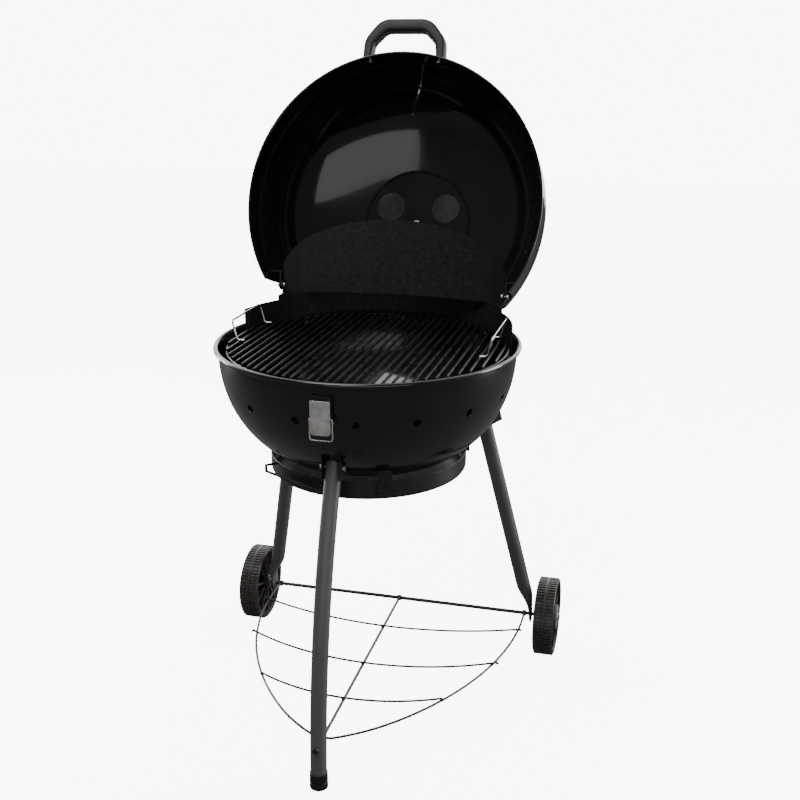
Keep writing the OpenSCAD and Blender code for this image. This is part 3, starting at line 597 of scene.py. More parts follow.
def rounded(points, bend, steps=7):
    """A route through the points with each inner corner replaced by an arc of the bend radius."""
    points = [Vector(p) for p in points]
    route = [points[0]]
    for before, corner, after in zip(points, points[1:], points[2:]):
        back, on = (before - corner).normalized(), (after - corner).normalized()
        half = back.angle(on) / 2
        if half > pi / 2 - 0.01:
            continue
        reach = bend * cos(half) / sin(half)
        centre = corner + (back + on).normalized() * (bend / sin(half))
        start, end = corner + back * reach - centre, corner + on * reach - centre
        sweep = start.angle(end)
        for k in range(steps + 1):
            share = k / steps
            way = (start * sin((1 - share) * sweep) + end * sin(share * sweep)) / sin(sweep)
            route.append(centre + way)
    return route + [points[-1]]


def wire(name, routes, radius, sides=12):
    """Round wire along one or more routes, as one mesh with closed ends."""
    curve = bpy.data.curves.new(name, "CURVE")
    curve.dimensions = "3D"
    curve.bevel_depth = radius
    curve.bevel_resolution = max(1, sides // 4 - 1)
    curve.use_fill_caps = True
    for route in routes:
        spline = curve.splines.new("POLY")
        spline.points.add(len(route) - 1)
        for point, at in zip(spline.points, route):
            point.co = (*at, 1)
    holder = bpy.data.objects.new(name, curve)
    scene.collection.objects.link(holder)
    depsgraph = bpy.context.evaluated_depsgraph_get()
    mesh = bpy.data.meshes.new_from_object(holder.evaluated_get(depsgraph))
    bpy.data.objects.remove(holder)
    bm = bmesh.new()
    bm.from_mesh(mesh)
    bmesh.ops.remove_doubles(bm, verts=bm.verts, dist=1e-6)
    bmesh.ops.recalc_face_normals(bm, faces=bm.faces)
    bpy.data.meshes.remove(mesh)
    made = as_object(name, bm)
    made.data.polygons.foreach_set("use_smooth", [True] * len(made.data.polygons))
    made.data.set_sharp_from_angle(angle=radians(50))
    return made


GRATE_HANDLE_WIRE = 2 * MM
for side, name in ((-1, "left"), (1, "right")):
    low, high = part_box("grate_handle_" + name)
    near, far = (high.x, low.x) if side < 0 else (low.x, high.x)
    foot_x, top_x = near + side * GRATE_HANDLE_WIRE, far - side * GRATE_HANDLE_WIRE
    front_y, back_y = low.y + GRATE_HANDLE_WIRE, high.y - GRATE_HANDLE_WIRE
    foot_z, top_z = low.z + GRATE_HANDLE_WIRE, high.z - GRATE_HANDLE_WIRE
    inward = -side * 14 * MM
    loop = wire("grate_handle_wire_" + name, [rounded([
        (foot_x + inward, front_y, foot_z), (foot_x, front_y, foot_z), (top_x, front_y, top_z),
        (top_x, back_y, top_z), (foot_x, back_y, foot_z), (foot_x + inward, back_y, foot_z),
    ], 7 * MM)], GRATE_HANDLE_WIRE, 16)
    fit_out(loop, chrome, "frame", "chrome", "grate_handle_" + name)

# ---------------------------------------------------------------------------------------------
# Legs
# Steel tube with a satin dark grey powder coat. The front leg is bent in one long curve and
# stands in a black plastic cap; the rear legs are straight, with their lower ends pressed flat
# against the axle. Their top ends are cut to the bowl's curve.

leg_grey = finish(
    "grey_powder_coat", (0.105, 0.108, 0.108), (0.125, 0.128, 0.127), (0.30, 0.40), 0.10 * MM,
    (1300.0, 8.0), dust=0.03, wear=0.15, specular=0.5,
)
black_plastic = finish(
    "black_plastic", (0.010, 0.010, 0.0105), (0.014, 0.014, 0.014), (0.42, 0.54), 0.10 * MM,
    (1700.0, 14.0), dust=0.03, wear=0.1,
)
LEG_R = 15 * MM
FRONT_FOOT_Y = BOWL_Y - 0.345
FRONT_BEND = 1.4
AXLE_LOW, AXLE_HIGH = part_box("axle")
AXLE = (AXLE_LOW + AXLE_HIGH) / 2


def section(half_width, half_depth, power=2.0, steps=48):
    """Points (u, v) round a superellipse: power 2 is an oval, higher is boxier."""
    points = []
    for k in range(steps):
        c, s = cos(TURN * k / steps), sin(TURN * k / steps)
        points.append((
            half_width * abs(c) ** (2 / power) * (1 if c >= 0 else -1),
            half_depth * abs(s) ** (2 / power) * (1 if s >= 0 else -1),
        ))
    return points


def skin(name, rings):
    """A closed skin over a row of rings that all have as many points."""
    bm = bmesh.new()
    rows = [[bm.verts.new(p) for p in ring] for ring in rings]
    count = len(rows[0])
    for low, high in zip(rows, rows[1:]):
        for k in range(count):
            bm.faces.new((low[k], low[(k + 1) % count], high[(k + 1) % count], high[k]))
    bm.faces.new(rows[0][::-1])
    bm.faces.new(rows[-1])
    bmesh.ops.recalc_face_normals(bm, faces=bm.faces)
    return as_object(name, bm)


def sweep(name, route, outline_at, side):
    """Skin along a route; outline_at(k) gives the section's points, side is its first direction."""
    rings = []
    last = len(route) - 1
    for k, at in enumerate(route):
        ahead = (route[min(k + 1, last)] - route[max(k - 1, 0)]).normalized()
        across = (side - ahead * side.dot(ahead)).normalized()
        up = ahead.cross(across)
        rings.append([at + across * u + up * v for u, v in outline_at(k)])
    return skin(name, rings)


def kettle_core():
    """The bowl's whole inside as one solid, a hair larger, to cut the legs' ends with."""
    curve = oval_curve(BOWL_R + 0.4 * MM, BOWL_DEPTH + 0.4 * MM, BOWL_POWER, 1 * MM, 60)
    outline = [(r, -d) for r, d in curve] + [(0, -curve[-1][1]), (0, 0)]
    return place(as_object("core", spin(outline, 144)), AT_BOWL)


FRONT_STEPS = 60
FRONT_LOW, FRONT_TOP = 4, 598
front_route = []
for k in range(FRONT_STEPS + 1):
    height = (FRONT_LOW + (FRONT_TOP - FRONT_LOW) * k / FRONT_STEPS) * MM
    reach = FRONT_BEND - sqrt(FRONT_BEND**2 - height**2)
    front_route.append(Vector((0, FRONT_FOOT_Y + reach, height)))


def front_section(k):
    """The tube is round, and a little narrower at its very top."""
    radius = LEG_R - (1.5 * MM if k == FRONT_STEPS else 0)
    return section(radius, radius)


front_leg = sweep("front_leg_tube", front_route, front_section, Vector((1, 0, 0)))
cut(front_leg, kettle_core())
smooth(front_leg, 40)
fit_out(front_leg, leg_grey, "frame", "leg_grey", "leg_front")

REAR_TOP = Vector((192 * MM, BOWL_Y + 132 * MM, 600 * MM))
REAR_FOOT = Vector((299 * MM, AXLE.y, AXLE.z))
rear_way = REAR_FOOT - REAR_TOP
PRESS = 70 * MM
for side, name in ((-1, "left"), (1, "right")):
    flip = Matrix.Diagonal((side, 1, 1, 1))
    route, pressed = [], []
    for k in range(49):
        share = k / 48
        travel = rear_way.length * (-0.03 + 1.06 * share)
        at = REAR_TOP + rear_way.normalized() * travel
        left = rear_way.length - travel
        press = min(1.0, max(0.0, 1 - (left - 14 * MM) / PRESS))
        press = press * press * (3 - 2 * press)
        at.x += (REAR_FOOT.x - at.x) * press * 0.9
        route.append(at)
        pressed.append(press)

    def flattened(k, pressed=pressed):
        p = pressed[k]
        tip = 1.0
        if k >= 47:
            tip = (0.86, 0.5)[k - 47]
        return section((LEG_R - 12 * MM * p) * (1 if k < 48 else 0.8), (LEG_R + 3 * MM * p) * tip,
                       2.0 + 0.8 * p)

    leg = sweep("rear_leg_tube_" + name, route, flattened, Vector((1, 0, 0)))
    cut(leg, kettle_core())
    if side < 0:
        place(leg, flip)
        leg.data.flip_normals()
    smooth(leg, 40)
    fit_out(leg, leg_grey, "frame", "leg_grey", "leg_" + name)

FOOT_R = LEG_R + 2 * MM
foot_outline = [(0, 0), (FOOT_R - 3 * MM, 0)]
foot_outline += circle_points((FOOT_R - 2 * MM, 2 * MM), 2 * MM, -90, 90, 5)
foot_outline += [(FOOT_R - 0.4 * MM, 12 * MM), (FOOT_R - 1 * MM, 12.8 * MM), (FOOT_R - 1 * MM, 14 * MM)]
foot_outline += [(FOOT_R - 0.2 * MM, 15 * MM), (FOOT_R - 0.4 * MM, 30 * MM)]
foot_outline += circle_points((FOOT_R - 1.4 * MM, 31 * MM), 1 * MM, 0, 90, 4)
foot_outline += [(LEG_R + 0.4 * MM, 32 * MM), (LEG_R + 0.4 * MM, 4 * MM), (0, 4 * MM)]
foot = as_object("foot_cap_moulding", spin(foot_outline, 72, False))
smooth(foot, 30)
place(foot, Matrix.Translation((0, FRONT_FOOT_Y, 0)))
fit_out(foot, black_plastic, "frame", "black_plastic", "foot_cap")

# ---------------------------------------------------------------------------------------------
# Wheels and axle
# Each wheel is one moulding of black plastic: a ribbed tread with a smooth band round its
# middle, a web with spokes, and a hub. A grey ring trims the hub's outer end. They turn on a
# straight black steel axle.

wheel_plastic = finish(
    "wheel_plastic", (0.032, 0.028, 0.025), (0.046, 0.040, 0.036), (0.30, 0.44), 0.10 * MM,
    (1200.0, 18.0), dust=0.08, wear=0.45, bare=(0.20, 0.18, 0.165),
)
hub_grey = finish(
    "hub_grey", (0.16, 0.16, 0.165), (0.20, 0.20, 0.20), (0.32, 0.45), 0.06 * MM,
    (1500.0, 30.0), dust=0.1, wear=0.2, bare=(0.3, 0.3, 0.3),
)
shelf_black = finish(
    "black_powder_coat", (0.020, 0.020, 0.021), (0.028, 0.028, 0.028), (0.32, 0.44), 0.08 * MM,
    (1500.0, 12.0), dust=0.06, wear=0.15,
)
paint(shelf_black, "axle")
WHEEL_R = AXLE.z
WHEEL_HALF = (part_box("wheel_right")[1].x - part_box("wheel_right")[0].x) / 2
WHEEL_X = (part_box("wheel_right")[1].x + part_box("wheel_right")[0].x) / 2
RIB_H = 2.2 * MM
RIBS = 72
AXLE_BORE = 4.1 * MM

rib_tree, given, result, add = geometry_tree(
    "tread_ribs", [("Count", WHOLE), ("Radius", FLOAT), ("Offset", FLOAT), ("Length", FLOAT),
                   ("Thickness", FLOAT), ("Height", FLOAT)],
)
rib_points = add("GeometryNodeMeshLine", Count=given["Count"])
rib_share = add(
    "ShaderNodeMath", {"operation": "DIVIDE"}, i0=add("GeometryNodeInputIndex").outputs[0],
    i1=given["Count"],
)
rib_turn = add("ShaderNodeMath", {"operation": "MULTIPLY"}, i0=rib_share.outputs[0], i1=TURN)
rib_sin = add("ShaderNodeMath", {"operation": "SINE"}, i0=rib_turn.outputs[0])
rib_cos = add("ShaderNodeMath", {"operation": "COSINE"}, i0=rib_turn.outputs[0])
rib_y = add("ShaderNodeMath", {"operation": "MULTIPLY"}, i0=rib_sin.outputs[0], i1=given["Radius"])
rib_z = add("ShaderNodeMath", {"operation": "MULTIPLY"}, i0=rib_cos.outputs[0], i1=given["Radius"])
rib_at = add("ShaderNodeCombineXYZ", X=given["Offset"], Y=rib_y.outputs[0], Z=rib_z.outputs[0])
rib_points = add("GeometryNodeSetPosition", Geometry=rib_points.outputs[0], Position=rib_at.outputs[0])
rib_back = add("ShaderNodeMath", {"operation": "MULTIPLY"}, i0=rib_turn.outputs[0], i1=-1.0)
rib_lean = add("ShaderNodeCombineXYZ", X=rib_back.outputs[0])
rib_box = add("ShaderNodeCombineXYZ", X=given["Length"], Y=given["Thickness"], Z=given["Height"])
rib_cube = add("GeometryNodeMeshCube", Size=rib_box.outputs[0])
ribs = add(
    "GeometryNodeInstanceOnPoints", Points=rib_points.outputs[0], Instance=rib_cube.outputs[0],
    Rotation=rib_lean.outputs[0],
)
ribs = add("GeometryNodeRealizeInstances", Geometry=ribs.outputs[0])
ribs = add("GeometryNodeSetMaterial", Geometry=ribs.outputs[0], Material=given["Material"])
rib_tree.links.new(ribs.outputs[0], result[0])


def joined(name, *parts):
    """One object that holds the meshes of several, which are deleted."""
    bm = bmesh.new()
    for part in parts:
        bm.from_mesh(part.data)
        bpy.data.objects.remove(part)
    return as_object(name, bm)


ALONG_X = Matrix.Rotation(pi / 2, 4, "Y")
for side, name in ((-1, "left"), (1, "right")):
    base = WHEEL_R - RIB_H
    half = WHEEL_HALF
    shoulder = 3.5 * MM
    outline = [(WHEEL_R - 12 * MM, -half + 1 * MM), (WHEEL_R - 6 * MM, -half)]
    outline += circle_points((base - shoulder, -half + shoulder), shoulder, -90, 90, 6)
    outline += [(base, -3.6 * MM), (WHEEL_R, -3.0 * MM), (WHEEL_R, 3.0 * MM), (base, 3.6 * MM)]
    outline += circle_points((base - shoulder, half - shoulder), shoulder, 0, 90, 6)
    outline += [(WHEEL_R - 6 * MM, half), (WHEEL_R - 12 * MM, half - 1 * MM)]
    outline += [(WHEEL_R - 13 * MM, half - 4 * MM), (WHEEL_R - 13 * MM, 3 * MM)]
    outline += [(WHEEL_R - 13 * MM, -3 * MM), (WHEEL_R - 13 * MM, -half + 4 * MM)]
    tread = place(as_object("tread", spin(outline, 192)), ALONG_X)
    smooth(tread, 35)
    web = [(AXLE_BORE, -half), (14 * MM, -half), (17 * MM, -half + 2 * MM), (18 * MM, -3 * MM)]
    web += [(30 * MM, -2 * MM), (WHEEL_R - 12.5 * MM, -2 * MM), (WHEEL_R - 12.5 * MM, 2 * MM)]
    web += [(30 * MM, 2 * MM), (18 * MM, 3 * MM), (17 * MM, half - 2 * MM), (14 * MM, half)]
    web += [(AXLE_BORE, half)]
    web = place(as_object("web", spin(web, 96)), ALONG_X)
    smooth(web, 30)
    ribs = [
        grow("ribs", rib_tree, {
            "Count": RIBS, "Radius": base + RIB_H / 2 - 0.3 * MM, "Offset": offset * (half / 2 + 1 * MM),
            "Length": half - 6 * MM, "Thickness": 3.4 * MM, "Height": RIB_H + 0.6 * MM,
            "Material": wheel_plastic,
        })
        for offset in (-1, 1)
    ]
    spokes = [
        grow("spokes", rib_tree, {
            "Count": 10, "Radius": 44.5 * MM, "Offset": offset * 9 * MM,
            "Length": 16 * MM, "Thickness": 3.2 * MM, "Height": 56 * MM, "Material": wheel_plastic,
        })
        for offset in (-1, 1)
    ]
    wheel = joined("wheel_moulding_" + name, tread, web, *ribs, *spokes)
    place(wheel, Matrix.Translation((side * WHEEL_X, AXLE.y, AXLE.z)))
    fit_out(wheel, wheel_plastic, "wheel_" + name, "wheel_plastic", "wheel_" + name)
    trim = [(12 * MM, half - 0.5 * MM), (25 * MM, half - 5 * MM), (26 * MM, half - 4 * MM)]
    trim += circle_points((24.5 * MM, half), 1.5 * MM, 0, 90, 4)
    trim += [(20 * MM, half + 1.8 * MM), (14 * MM, half + 1.2 * MM), (12 * MM, half + 0.6 * MM)]
    cap = place(as_object("hub_trim_" + name, spin(trim, 72)), ALONG_X)
    if side < 0:
        place(cap, Matrix.Rotation(pi, 4, "Z"))
    smooth(cap, 40)
    place(cap, Matrix.Translation((side * WHEEL_X, AXLE.y, AXLE.z)))
    fit_out(cap, hub_grey, "wheel_" + name, "hub_grey", "hub_cap_" + name)

# ---------------------------------------------------------------------------------------------
# Wire shelf
# Round steel wire, bent and spot welded, with a black powder coat: a pointed outer wire, three
# bowed cross wires and a centre bar. Its eyes sit on the axle, and a tab at its nose is screwed
# to the front leg.

SHELF_WIRE = 2.5 * MM
CROSS_WIRE = 2.2 * MM
SHELF_BAR = 3 * MM
SHELF_Z = AXLE.z + SHELF_BAR - SHELF_WIRE
SIDE_BEND, NOSE_BEND = 0.665, 0.380
EYE_R = 6.5 * MM
EYE_X = 0.285
TAIL_TURN = radians(2)
shelf_tail = Vector((EYE_X, AXLE.y - EYE_R))
shelf_tip = Vector((0, FRONT_FOOT_Y + 20 * MM))
side_centre = shelf_tail - SIDE_BEND * Vector((cos(TAIL_TURN), sin(TAIL_TURN)))
to_centre = side_centre - shelf_tip
step = SIDE_BEND - NOSE_BEND
join = atan2(to_centre.y, to_centre.x) - acos(
    (NOSE_BEND**2 - step**2 - to_centre.length_squared) / (2 * step * to_centre.length)
)
nose_centre = side_centre + step * Vector((cos(join), sin(join)))
nose_turn = atan2(shelf_tip.y - nose_centre.y, shelf_tip.x - nose_centre.x)


def arc_route(centre, bend, start, end, height, steps):
    """Points on a flat arc at one height, angles in radians."""
    turns = [start + (end - start) * k / steps for k in range(steps + 1)]
    return [Vector((centre[0] + bend * cos(t), centre[1] + bend * sin(t), height)) for t in turns]


def block(name, size, bevel=0.0, segments=1):
    """A box centred on the origin, with rounded edges where a bevel is given."""
    bm = bmesh.new()
    bmesh.ops.create_cube(bm, size=1)
    bmesh.ops.scale(bm, vec=size, verts=bm.verts)
    if bevel:
        bmesh.ops.bevel(bm, geom=bm.edges[:], offset=bevel, segments=segments, affect="EDGES")
    return as_object(name, bm)


half_rim = arc_route(nose_centre, NOSE_BEND, nose_turn, join, SHELF_Z, 16)
half_rim += arc_route(side_centre, SIDE_BEND, join, TAIL_TURN, SHELF_Z, 40)[1:]
half_rim = [p for p in half_rim if p.x > 9.5 * MM]
rim_left = [Vector((-p.x, p.y, p.z)) for p in half_rim]
rim_nose = arc_route((0, half_rim[0].y + 26 * MM), 28 * MM, radians(-110), radians(-70), SHELF_Z, 6)
outer_wire = wire("shelf_outer_wire", [rim_left[::-1] + rim_nose + half_rim], SHELF_WIRE, 16)

eyes = []
for side in (-1, 0, 1):
    eye = as_object("eye", spin(
        [(AXLE_BORE, -4 * MM), (EYE_R, -4 * MM), (EYE_R, 4 * MM), (AXLE_BORE, 4 * MM)], 32))
    place(eye, Matrix.Translation((side * EYE_X, AXLE.y, AXLE.z)) @ ALONG_X)
    smooth(eye, 30)
    eyes.append(eye)
tab = block("tab", (18 * MM, 3 * MM, 24 * MM), 1 * MM, 3)
place(tab, Matrix.Translation((0, FRONT_FOOT_Y + LEG_R + 5.5 * MM, AXLE.z)))
smooth(tab, 30)
outer_wire = joined("shelf_outer", outer_wire, eyes[0], eyes[2], tab)
fit_out(outer_wire, shelf_black, "frame", "shelf_black", "shelf_rim")

cross_low, cross_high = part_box("shelf_wires")
CROSS_Z = (cross_low.z + cross_high.z) / 2
cross_routes = []
CROSS_STEPS = 40
for middle_y, end_y, half_length in (
    (0.095, 0.153, 0.289), (-0.060, 0.008, 0.264), (-0.192, -0.147, 0.184)
):
    bow = end_y - middle_y
    bend = (half_length**2 + bow**2) / (2 * bow)
    turn = acos(1 - bow / bend)
    cross_routes.append(arc_route(
        (0, BOWL_Y + middle_y + bend), bend, -pi / 2 - turn, -pi / 2 + turn, CROSS_Z,
        CROSS_STEPS))
cross_wires = wire("shelf_cross_wires", cross_routes, CROSS_WIRE, 14)

# Weld beads where the cross wires meet the outer wire and the bar
weld_tree, given, result, add = geometry_tree("weld_beads", [("Size", FLOAT)])
bead_ball = add("GeometryNodeMeshIcoSphere", Radius=given["Size"], Subdivisions=2)
bead_flat = add("ShaderNodeCombineXYZ", X=1.35, Y=1.0, Z=0.75)
beads = add(
    "GeometryNodeInstanceOnPoints", Points=given["Geometry"], Instance=bead_ball.outputs[0],
    Scale=bead_flat.outputs[0],
)
beads = add("GeometryNodeRealizeInstances", Geometry=beads.outputs[0])
beads = add("GeometryNodeSetShadeSmooth", Geometry=beads.outputs[0])
beads = add("GeometryNodeSetMaterial", Geometry=beads.outputs[0], Material=given["Material"])
weld_tree.links.new(beads.outputs[0], result[0])
weld_places = []
between = CROSS_Z - CROSS_WIRE
for route in cross_routes:
    weld_places += [Vector((0, route[CROSS_STEPS // 2].y, between))]
    weld_places += [Vector((p.x, p.y, between)) for p in (route[0], route[-1])]
weld_mesh = bpy.data.meshes.new("weld_places")
weld_mesh.from_pydata(weld_places, [], [])
weld_beads = grow("beads", weld_tree, {"Size": 3.0 * MM, "Material": shelf_black}, weld_mesh)
cross_wires = joined("shelf_cross", cross_wires, weld_beads)
fit_out(cross_wires, shelf_black, "frame", "shelf_black", "shelf_wires")

bar_route = [Vector((0, shelf_tip.y + 12 * MM, AXLE.z)), Vector((0, AXLE.y, AXLE.z))]
bar = wire("bar", [bar_route], SHELF_BAR, 20)
bar = joined("shelf_centre_bar", bar, eyes[1])
fit_out(bar, shelf_black, "frame", "shelf_black", "shelf_bar")
dark_steel = finish(
    "blackened_steel", (0.035, 0.035, 0.036), (0.055, 0.053, 0.05), (0.30, 0.45), 0.04 * MM,
    (1500.0, 50.0), metallic=0.8, wear=0.4,
)
paint(dark_steel, "shelf_screw", "latch_rivets")

# ---------------------------------------------------------------------------------------------
# Latch
# A draw latch of nickel-plated steel on the bowl's front: a pressed lever plate with folded
# ears, and a wire bail that hangs from it, on a black base riveted to the bowl.

latch_steel = finish(
    "brushed_nickel", (0.66, 0.64, 0.60), (0.80, 0.78, 0.75), (0.34, 0.50), 0.05 * MM,
    (1400.0, 70.0), metallic=1.0, dust=0.1,
)
lever_low, lever_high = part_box("latch_lever")
LEVER_W = lever_high.x - lever_low.x
LEVER_T = 1.5 * MM
plate = bmesh.new()
corner = 7 * MM
half = LEVER_W / 2
top, bottom = lever_high.z, lever_low.z
shape = circle_points((half - corner, bottom + corner), corner, -90, 90, 8)
shape += circle_points((half - 2 * MM, top - 2 * MM), 2 * MM, 0, 90, 4)
shape += [(-x, z) for x, z in reversed(shape)]
front = [plate.verts.new((x, lever_low.y + 0.2 * MM, z)) for x, z in shape]
face = plate.faces.new(front)
bmesh.ops.recalc_face_normals(plate, faces=plate.faces)
push = bmesh.ops.extrude_face_region(plate, geom=[face])
moved = [v for v in push["geom"] if isinstance(v, bmesh.types.BMVert)]
bmesh.ops.translate(plate, vec=(0, LEVER_T - 0.4 * MM, 0), verts=moved)
bmesh.ops.recalc_face_normals(plate, faces=plate.faces)
lever = as_object("lever", plate)
soft_edge = lever.modifiers.new("edge", "BEVEL")
soft_edge.width = 0.45 * MM
soft_edge.segments = 3
soft_edge.limit_method = "ANGLE"
settle(lever)
smooth(lever, 40)
latch_joint = next(j for j in frame["joints"] if j["name"] == "latch_lever")
pivot = Vector(latch_joint["pos_m"])
BAIL_DROP = 28 * MM
ears = []
for side in (-1, 1):
    ear = block("ear", (1.5 * MM, 7.0 * MM, BAIL_DROP + 7 * MM), 0.5 * MM, 2)
    place(ear, Matrix.Translation((side * 14 * MM, pivot.y - 1.0 * MM, pivot.z - BAIL_DROP / 2 - 0.5 * MM)))
    smooth(ear, 40)
    ears.append(ear)
lever = joined("latch_lever_plate", lever, *ears)
fit_out(lever, latch_steel, "latch_lever", "latch_steel", "latch_lever")

bail_low, bail_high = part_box("latch_bail")
BAIL_WIRE = 1.25 * MM
bail_x = bail_high.x - BAIL_WIRE
bail_top, bail_bottom = bail_high.z - BAIL_WIRE, bail_low.z + BAIL_WIRE
bail_y = (bail_low.y + bail_high.y) / 2
bail = wire("latch_bail_wire", [rounded([
    (12.6 * MM, bail_y, bail_top), (bail_x, bail_y, bail_top), (bail_x, bail_y, bail_bottom),
    (-bail_x, bail_y, bail_bottom), (-bail_x, bail_y, bail_top), (-12.6 * MM, bail_y, bail_top),
], 4.5 * MM)], BAIL_WIRE, 12)
fit_out(bail, latch_steel, "latch_bail", "latch_steel", "latch_bail")

# ---------------------------------------------------------------------------------------------
# Ash pan
# A shallow pan pressed from sheet steel and painted satin black. Three lugs on its wall rest on
# catches that hang from the bowl, and it comes off with a short twist.

pan_black = finish(
    "pan_paint", (0.016, 0.016, 0.017), (0.024, 0.0235, 0.023), (0.30, 0.44), 0.10 * MM,
    (900.0, 12.0), dust=0.02, wear=0.15,
)
pan_low, pan_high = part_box("ash_pan")
PAN_R = 190 * MM
PAN_EDGE = 8 * MM
pan_floor, pan_top = pan_low.z - RIM_Z, pan_high.z - RIM_Z
outline = [(0, pan_floor), (PAN_R - PAN_EDGE, pan_floor)]
outline += circle_points((PAN_R - PAN_EDGE, pan_floor + PAN_EDGE), PAN_EDGE, -84, 84, 8)
outline += [(PAN_R, pan_top - 3 * MM)]
outline += circle_points((PAN_R - 0.8 * MM, pan_top - 1 * MM), 1 * MM, 0, 180, 6)
outline += [(PAN_R - SHEET, pan_floor + PAN_EDGE)]
outline += circle_points(
    (PAN_R - PAN_EDGE, pan_floor + PAN_EDGE), PAN_EDGE - SHEET, 0, -90, 8)
outline += [(0, pan_floor + SHEET)]
pan = as_object("pan", spin(outline, 216, False))
smooth(pan, 35)
place(pan, AT_BOWL)
lugs = []
LUG_Z = pan_floor + 12 * MM
LUG_TOP = LUG_Z + 2 * MM
for turn in (-66, 30, 150):
    rings = []
    for k in range(7):
        t = radians(turn - 4 + 8 * k / 6)
        inner_r, outer_r = PAN_R - 0.8 * MM, PAN_R + 8 * MM
        rings.append([
            Vector((r * cos(t), r * sin(t), z))
            for r, z in ((inner_r, LUG_Z), (outer_r, LUG_Z), (outer_r, LUG_TOP), (inner_r, LUG_TOP))
        ])
    lug = skin("lug", rings)
    smooth(lug, 30)
    lugs.append(place(lug, AT_BOWL))
pan = joined("ash_pan_pressing", pan, *lugs)
fit_out(pan, pan_black, "ash_pan", "pan_black", "ash_pan")

# ---------------------------------------------------------------------------------------------
# Lid
# Deep-drawn steel dome with a straight skirt, enamelled glossy black like the bowl. Its rear is
# cut off along the shield, and a flat seat on top has three vents that the damper covers.

lid_joint = next(j for j in frame["joints"] if j["name"] == "lid_hinge")
HINGE = Vector(lid_joint["pos_m"])
LID_ANGLE = radians(max(lid_joint["range_deg"]))
LID_R = 295.5 * MM
LID_LIFT = 3.3 * MM
LIP_TOP = LID_LIFT + 4 * MM
SKIRT_H = 60 * MM
DOME_H = 180 * MM
DOME_POWER = 2.6
SEAT_R = 116 * MM
VENT_R = 31 * MM
VENT_RING = 70 * MM
SHIELD_BOW = 745.6 * MM
SHIELD_Y = 215 * MM
LID_CUT_GAP = 3 * MM
AT_LID = (
    Matrix.Translation(HINGE) @ Matrix.Rotation(-LID_ANGLE, 4, "X")
    @ Matrix.Translation(-HINGE) @ AT_BOWL
)


def dome(radius, height):
    """Points up one face of the lid: a straight skirt, and the dome to the seat's edge."""
    curve = oval_curve(radius, height, DOME_POWER, SEAT_R, 72)
    return [(radius, LIP_TOP)] + [(r, h + LID_LIFT + SKIRT_H) for r, h in curve]


outside = dome(LID_R + SHEET, DOME_H)
inside = dome(LID_R, DOME_H - SHEET)
STEP = 3.2 * MM
STEP_Z = LID_LIFT + SKIRT_H - 6 * MM


def stepped(points, steps=6):
    """The same face with the skirt joggled outwards below the dome."""
    made = [points[0], (points[0][0], STEP_Z - 5 * MM)]
    for k in range(steps + 1):
        share = k / steps
        ease = share * share * (3 - 2 * share)
        made.append((points[0][0] - STEP * ease, STEP_Z - 3 * MM + 6 * MM * share))
    for r, z in points[1:]:
        if z < STEP_Z + 5 * MM:
            continue
        rise = min(1.0, (z - STEP_Z - 3 * MM) / (45 * MM))
        made.append((r - STEP * (1 - rise) ** 2, z))
    return made


outside, inside = stepped(outside), stepped(inside)
seat_z, seat_in = outside[-1][1], inside[-1][1]
lip = circle_points((LID_R + SHEET + 0.4 * MM, LID_LIFT + 2 * MM), 2 * MM, 60, -290, 14)
groove = 2.2 * MM
groove_out, groove_in, groove_end = SEAT_R - 2 * MM, SEAT_R - 4 * MM, SEAT_R - 6 * MM
top_out = [(groove_out, seat_z - groove), (groove_in, seat_z - groove)]
top_out += [(groove_end, seat_z), (0, seat_z)]
top_in = [(0, seat_in), (groove_end, seat_in)]
top_in += [(groove_in, seat_in - groove), (groove_out, seat_in - groove)]
lid = as_object("lid_dome", spin(outside + top_out + top_in + inside[::-1] + lip[::-1], 288))

bow_centre = SHIELD_Y - SHIELD_BOW
CUT_BACK, CUT_LOW, CUT_HIGH = 0.6, -0.05, 0.45
slices = []
for k in range(61):
    x = (k - 30) * 12 * MM
    y = bow_centre + sqrt((SHIELD_BOW + LID_CUT_GAP) ** 2 - x * x)
    slices.append([(x, y, CUT_LOW), (x, CUT_BACK, CUT_LOW), (x, CUT_BACK, CUT_HIGH), (x, y, CUT_HIGH)])
behind = skin("behind", slices)
relief = block("relief", (1, 0.4, 0.15))
place(relief, Matrix.Translation((0, HINGE.y - BOWL_Y - 4 * MM + 0.2, 0)))
cut(lid, behind, relief)
for turn in (-30, 90, 210):
    spot = Matrix.Rotation(radians(turn), 4, "Z") @ Matrix.Translation((VENT_RING, 0, seat_z))
    cut(lid, drum(VENT_R, -0.02, 0.02, spot, 72))
smooth(lid)
place(lid, AT_LID)
fit_out(lid, enamel, "lid", "enamel", "lid_shell")

# Vent damper: a flat enamelled disc with three holes and a tab to push it round
damper_black = finish(
    "damper_enamel", (0.010, 0.010, 0.011), (0.016, 0.016, 0.016), (0.25, 0.36), 0.05 * MM,
    (700.0, 20.0), coat=(0.4, 0.15), dust=0.02,
)
DAMPER_R = 112 * MM
damper_low = seat_z + 0.4 * MM
rim = circle_points((DAMPER_R - 1 * MM, damper_low + 1 * MM), 1 * MM, -90, 180, 6)
damper = as_object("damper_plate", spin(
    [(3.1 * MM, damper_low)] + rim + [(3.1 * MM, damper_low + 2 * MM)], 192))
for turn in (30, 150, 270):
    spot = Matrix.Rotation(radians(turn), 4, "Z") @ Matrix.Translation((VENT_RING, 0, seat_z))
    cut(damper, drum(VENT_R, -0.02, 0.02, spot, 72))
tab = block("tab", (2 * MM, 20 * MM, 16 * MM), 0.9 * MM, 3)
tab_spot = Matrix.Translation((DAMPER_R - 11 * MM, 0, damper_low + 8 * MM))
place(tab, Matrix.Rotation(radians(150), 4, "Z") @ tab_spot)
damper = joined("damper_disc", damper, tab)
smooth(damper, 35)
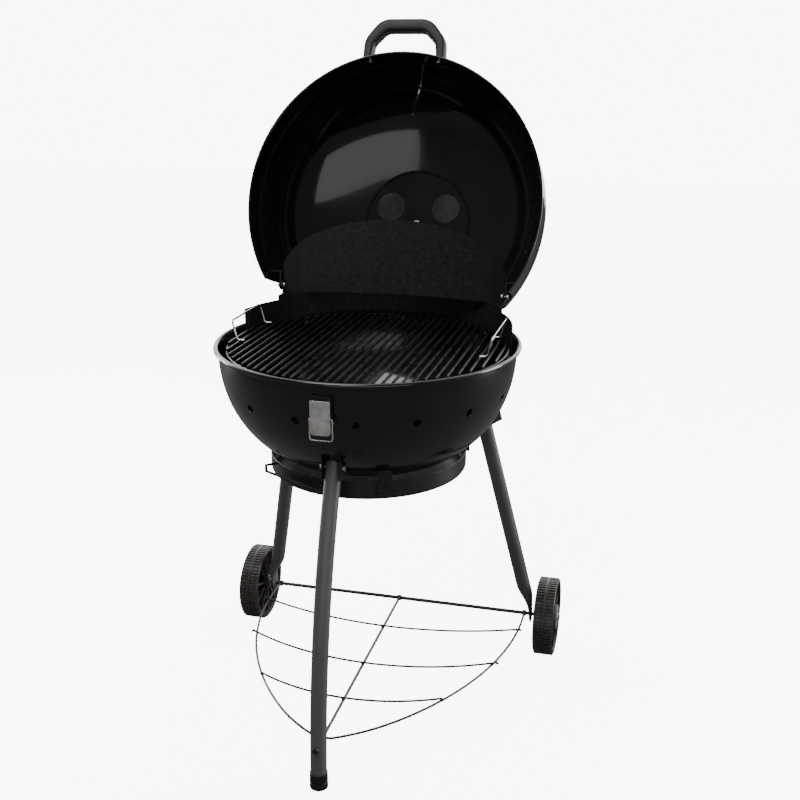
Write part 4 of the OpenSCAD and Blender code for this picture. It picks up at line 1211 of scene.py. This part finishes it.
place(damper, AT_LID)
fit_out(damper, damper_black, "damper", "damper_black", "lid_damper")

# Handle: a black moulded loop, rounded at its corners, screwed to the skirt's front
handle_low, handle_high = 6 * MM, 36 * MM
HANDLE_OUT = 367 * MM
handle_mid = (handle_low + handle_high) / 2
route = rounded([
    (-75 * MM, -282 * MM, handle_mid), (-72 * MM, -322 * MM, handle_mid),
    (-44 * MM, 13 * MM - HANDLE_OUT, handle_mid), (44 * MM, 13 * MM - HANDLE_OUT, handle_mid),
    (72 * MM, -322 * MM, handle_mid), (75 * MM, -282 * MM, handle_mid),
], 30 * MM, 10)
lengths = [0.0]
for before, after in zip(route, route[1:]):
    lengths.append(lengths[-1] + (after - before).length)


def grip(k):
    """The handle is broad across its top and tapers to its feet."""
    share = min(lengths[k], lengths[-1] - lengths[k]) / (lengths[-1] / 2)
    return section((9 + 4 * min(1.0, share * 1.6)) * MM, 15 * MM, 3.6, 40)


handle = sweep("lid_handle_loop", route, grip, Vector((0, -1, 0.0001)))
skirt = drum(LID_R + SHEET + 0.2 * MM, -0.1, 0.2, None, 256)
cut(handle, skirt)
smooth(handle, 50)
place(handle, AT_LID)
fit_out(handle, black_plastic, "lid", "black_plastic", "lid_handle")

# Thermometer: a chromed case with a plain white dial and a thin steel probe
dial_white = finish(
    "dial_white", (0.72, 0.72, 0.69), (0.76, 0.76, 0.73), (0.45, 0.55), 0.02 * MM, (900.0, 40.0),
)
paint(chrome, "thermometer_bezel", "thermometer_stem")
paint(dial_white, "thermometer_dial")
lens = bpy.data.materials.new("clear_glass")
nodes, links = new_nodes(lens)
lens_shader = nodes.new("ShaderNodeBsdfPrincipled")
lens_shader.inputs["Base Color"].default_value = (0.96, 0.98, 0.98, 1)
lens_shader.inputs["Transmission Weight"].default_value = 1.0
lens_shader.inputs["IOR"].default_value = 1.45
lens_smear = nodes.new("ShaderNodeMapRange")
lens_smear.inputs["To Min"].default_value = 0.01
lens_smear.inputs["To Max"].default_value = 0.09
lens_grain = nodes.new("ShaderNodeGroup")
lens_grain.node_tree = grain_group
lens_grain.inputs["Broad Scale"].default_value = 60.0
links.new(lens_grain.outputs["Patch"], lens_smear.inputs["Value"])
links.new(lens_smear.outputs[0], lens_shader.inputs["Roughness"])
lens_out = nodes.new("ShaderNodeOutputMaterial")
links.new(lens_shader.outputs[0], lens_out.inputs["Surface"])
paint(lens, "thermometer_lens")
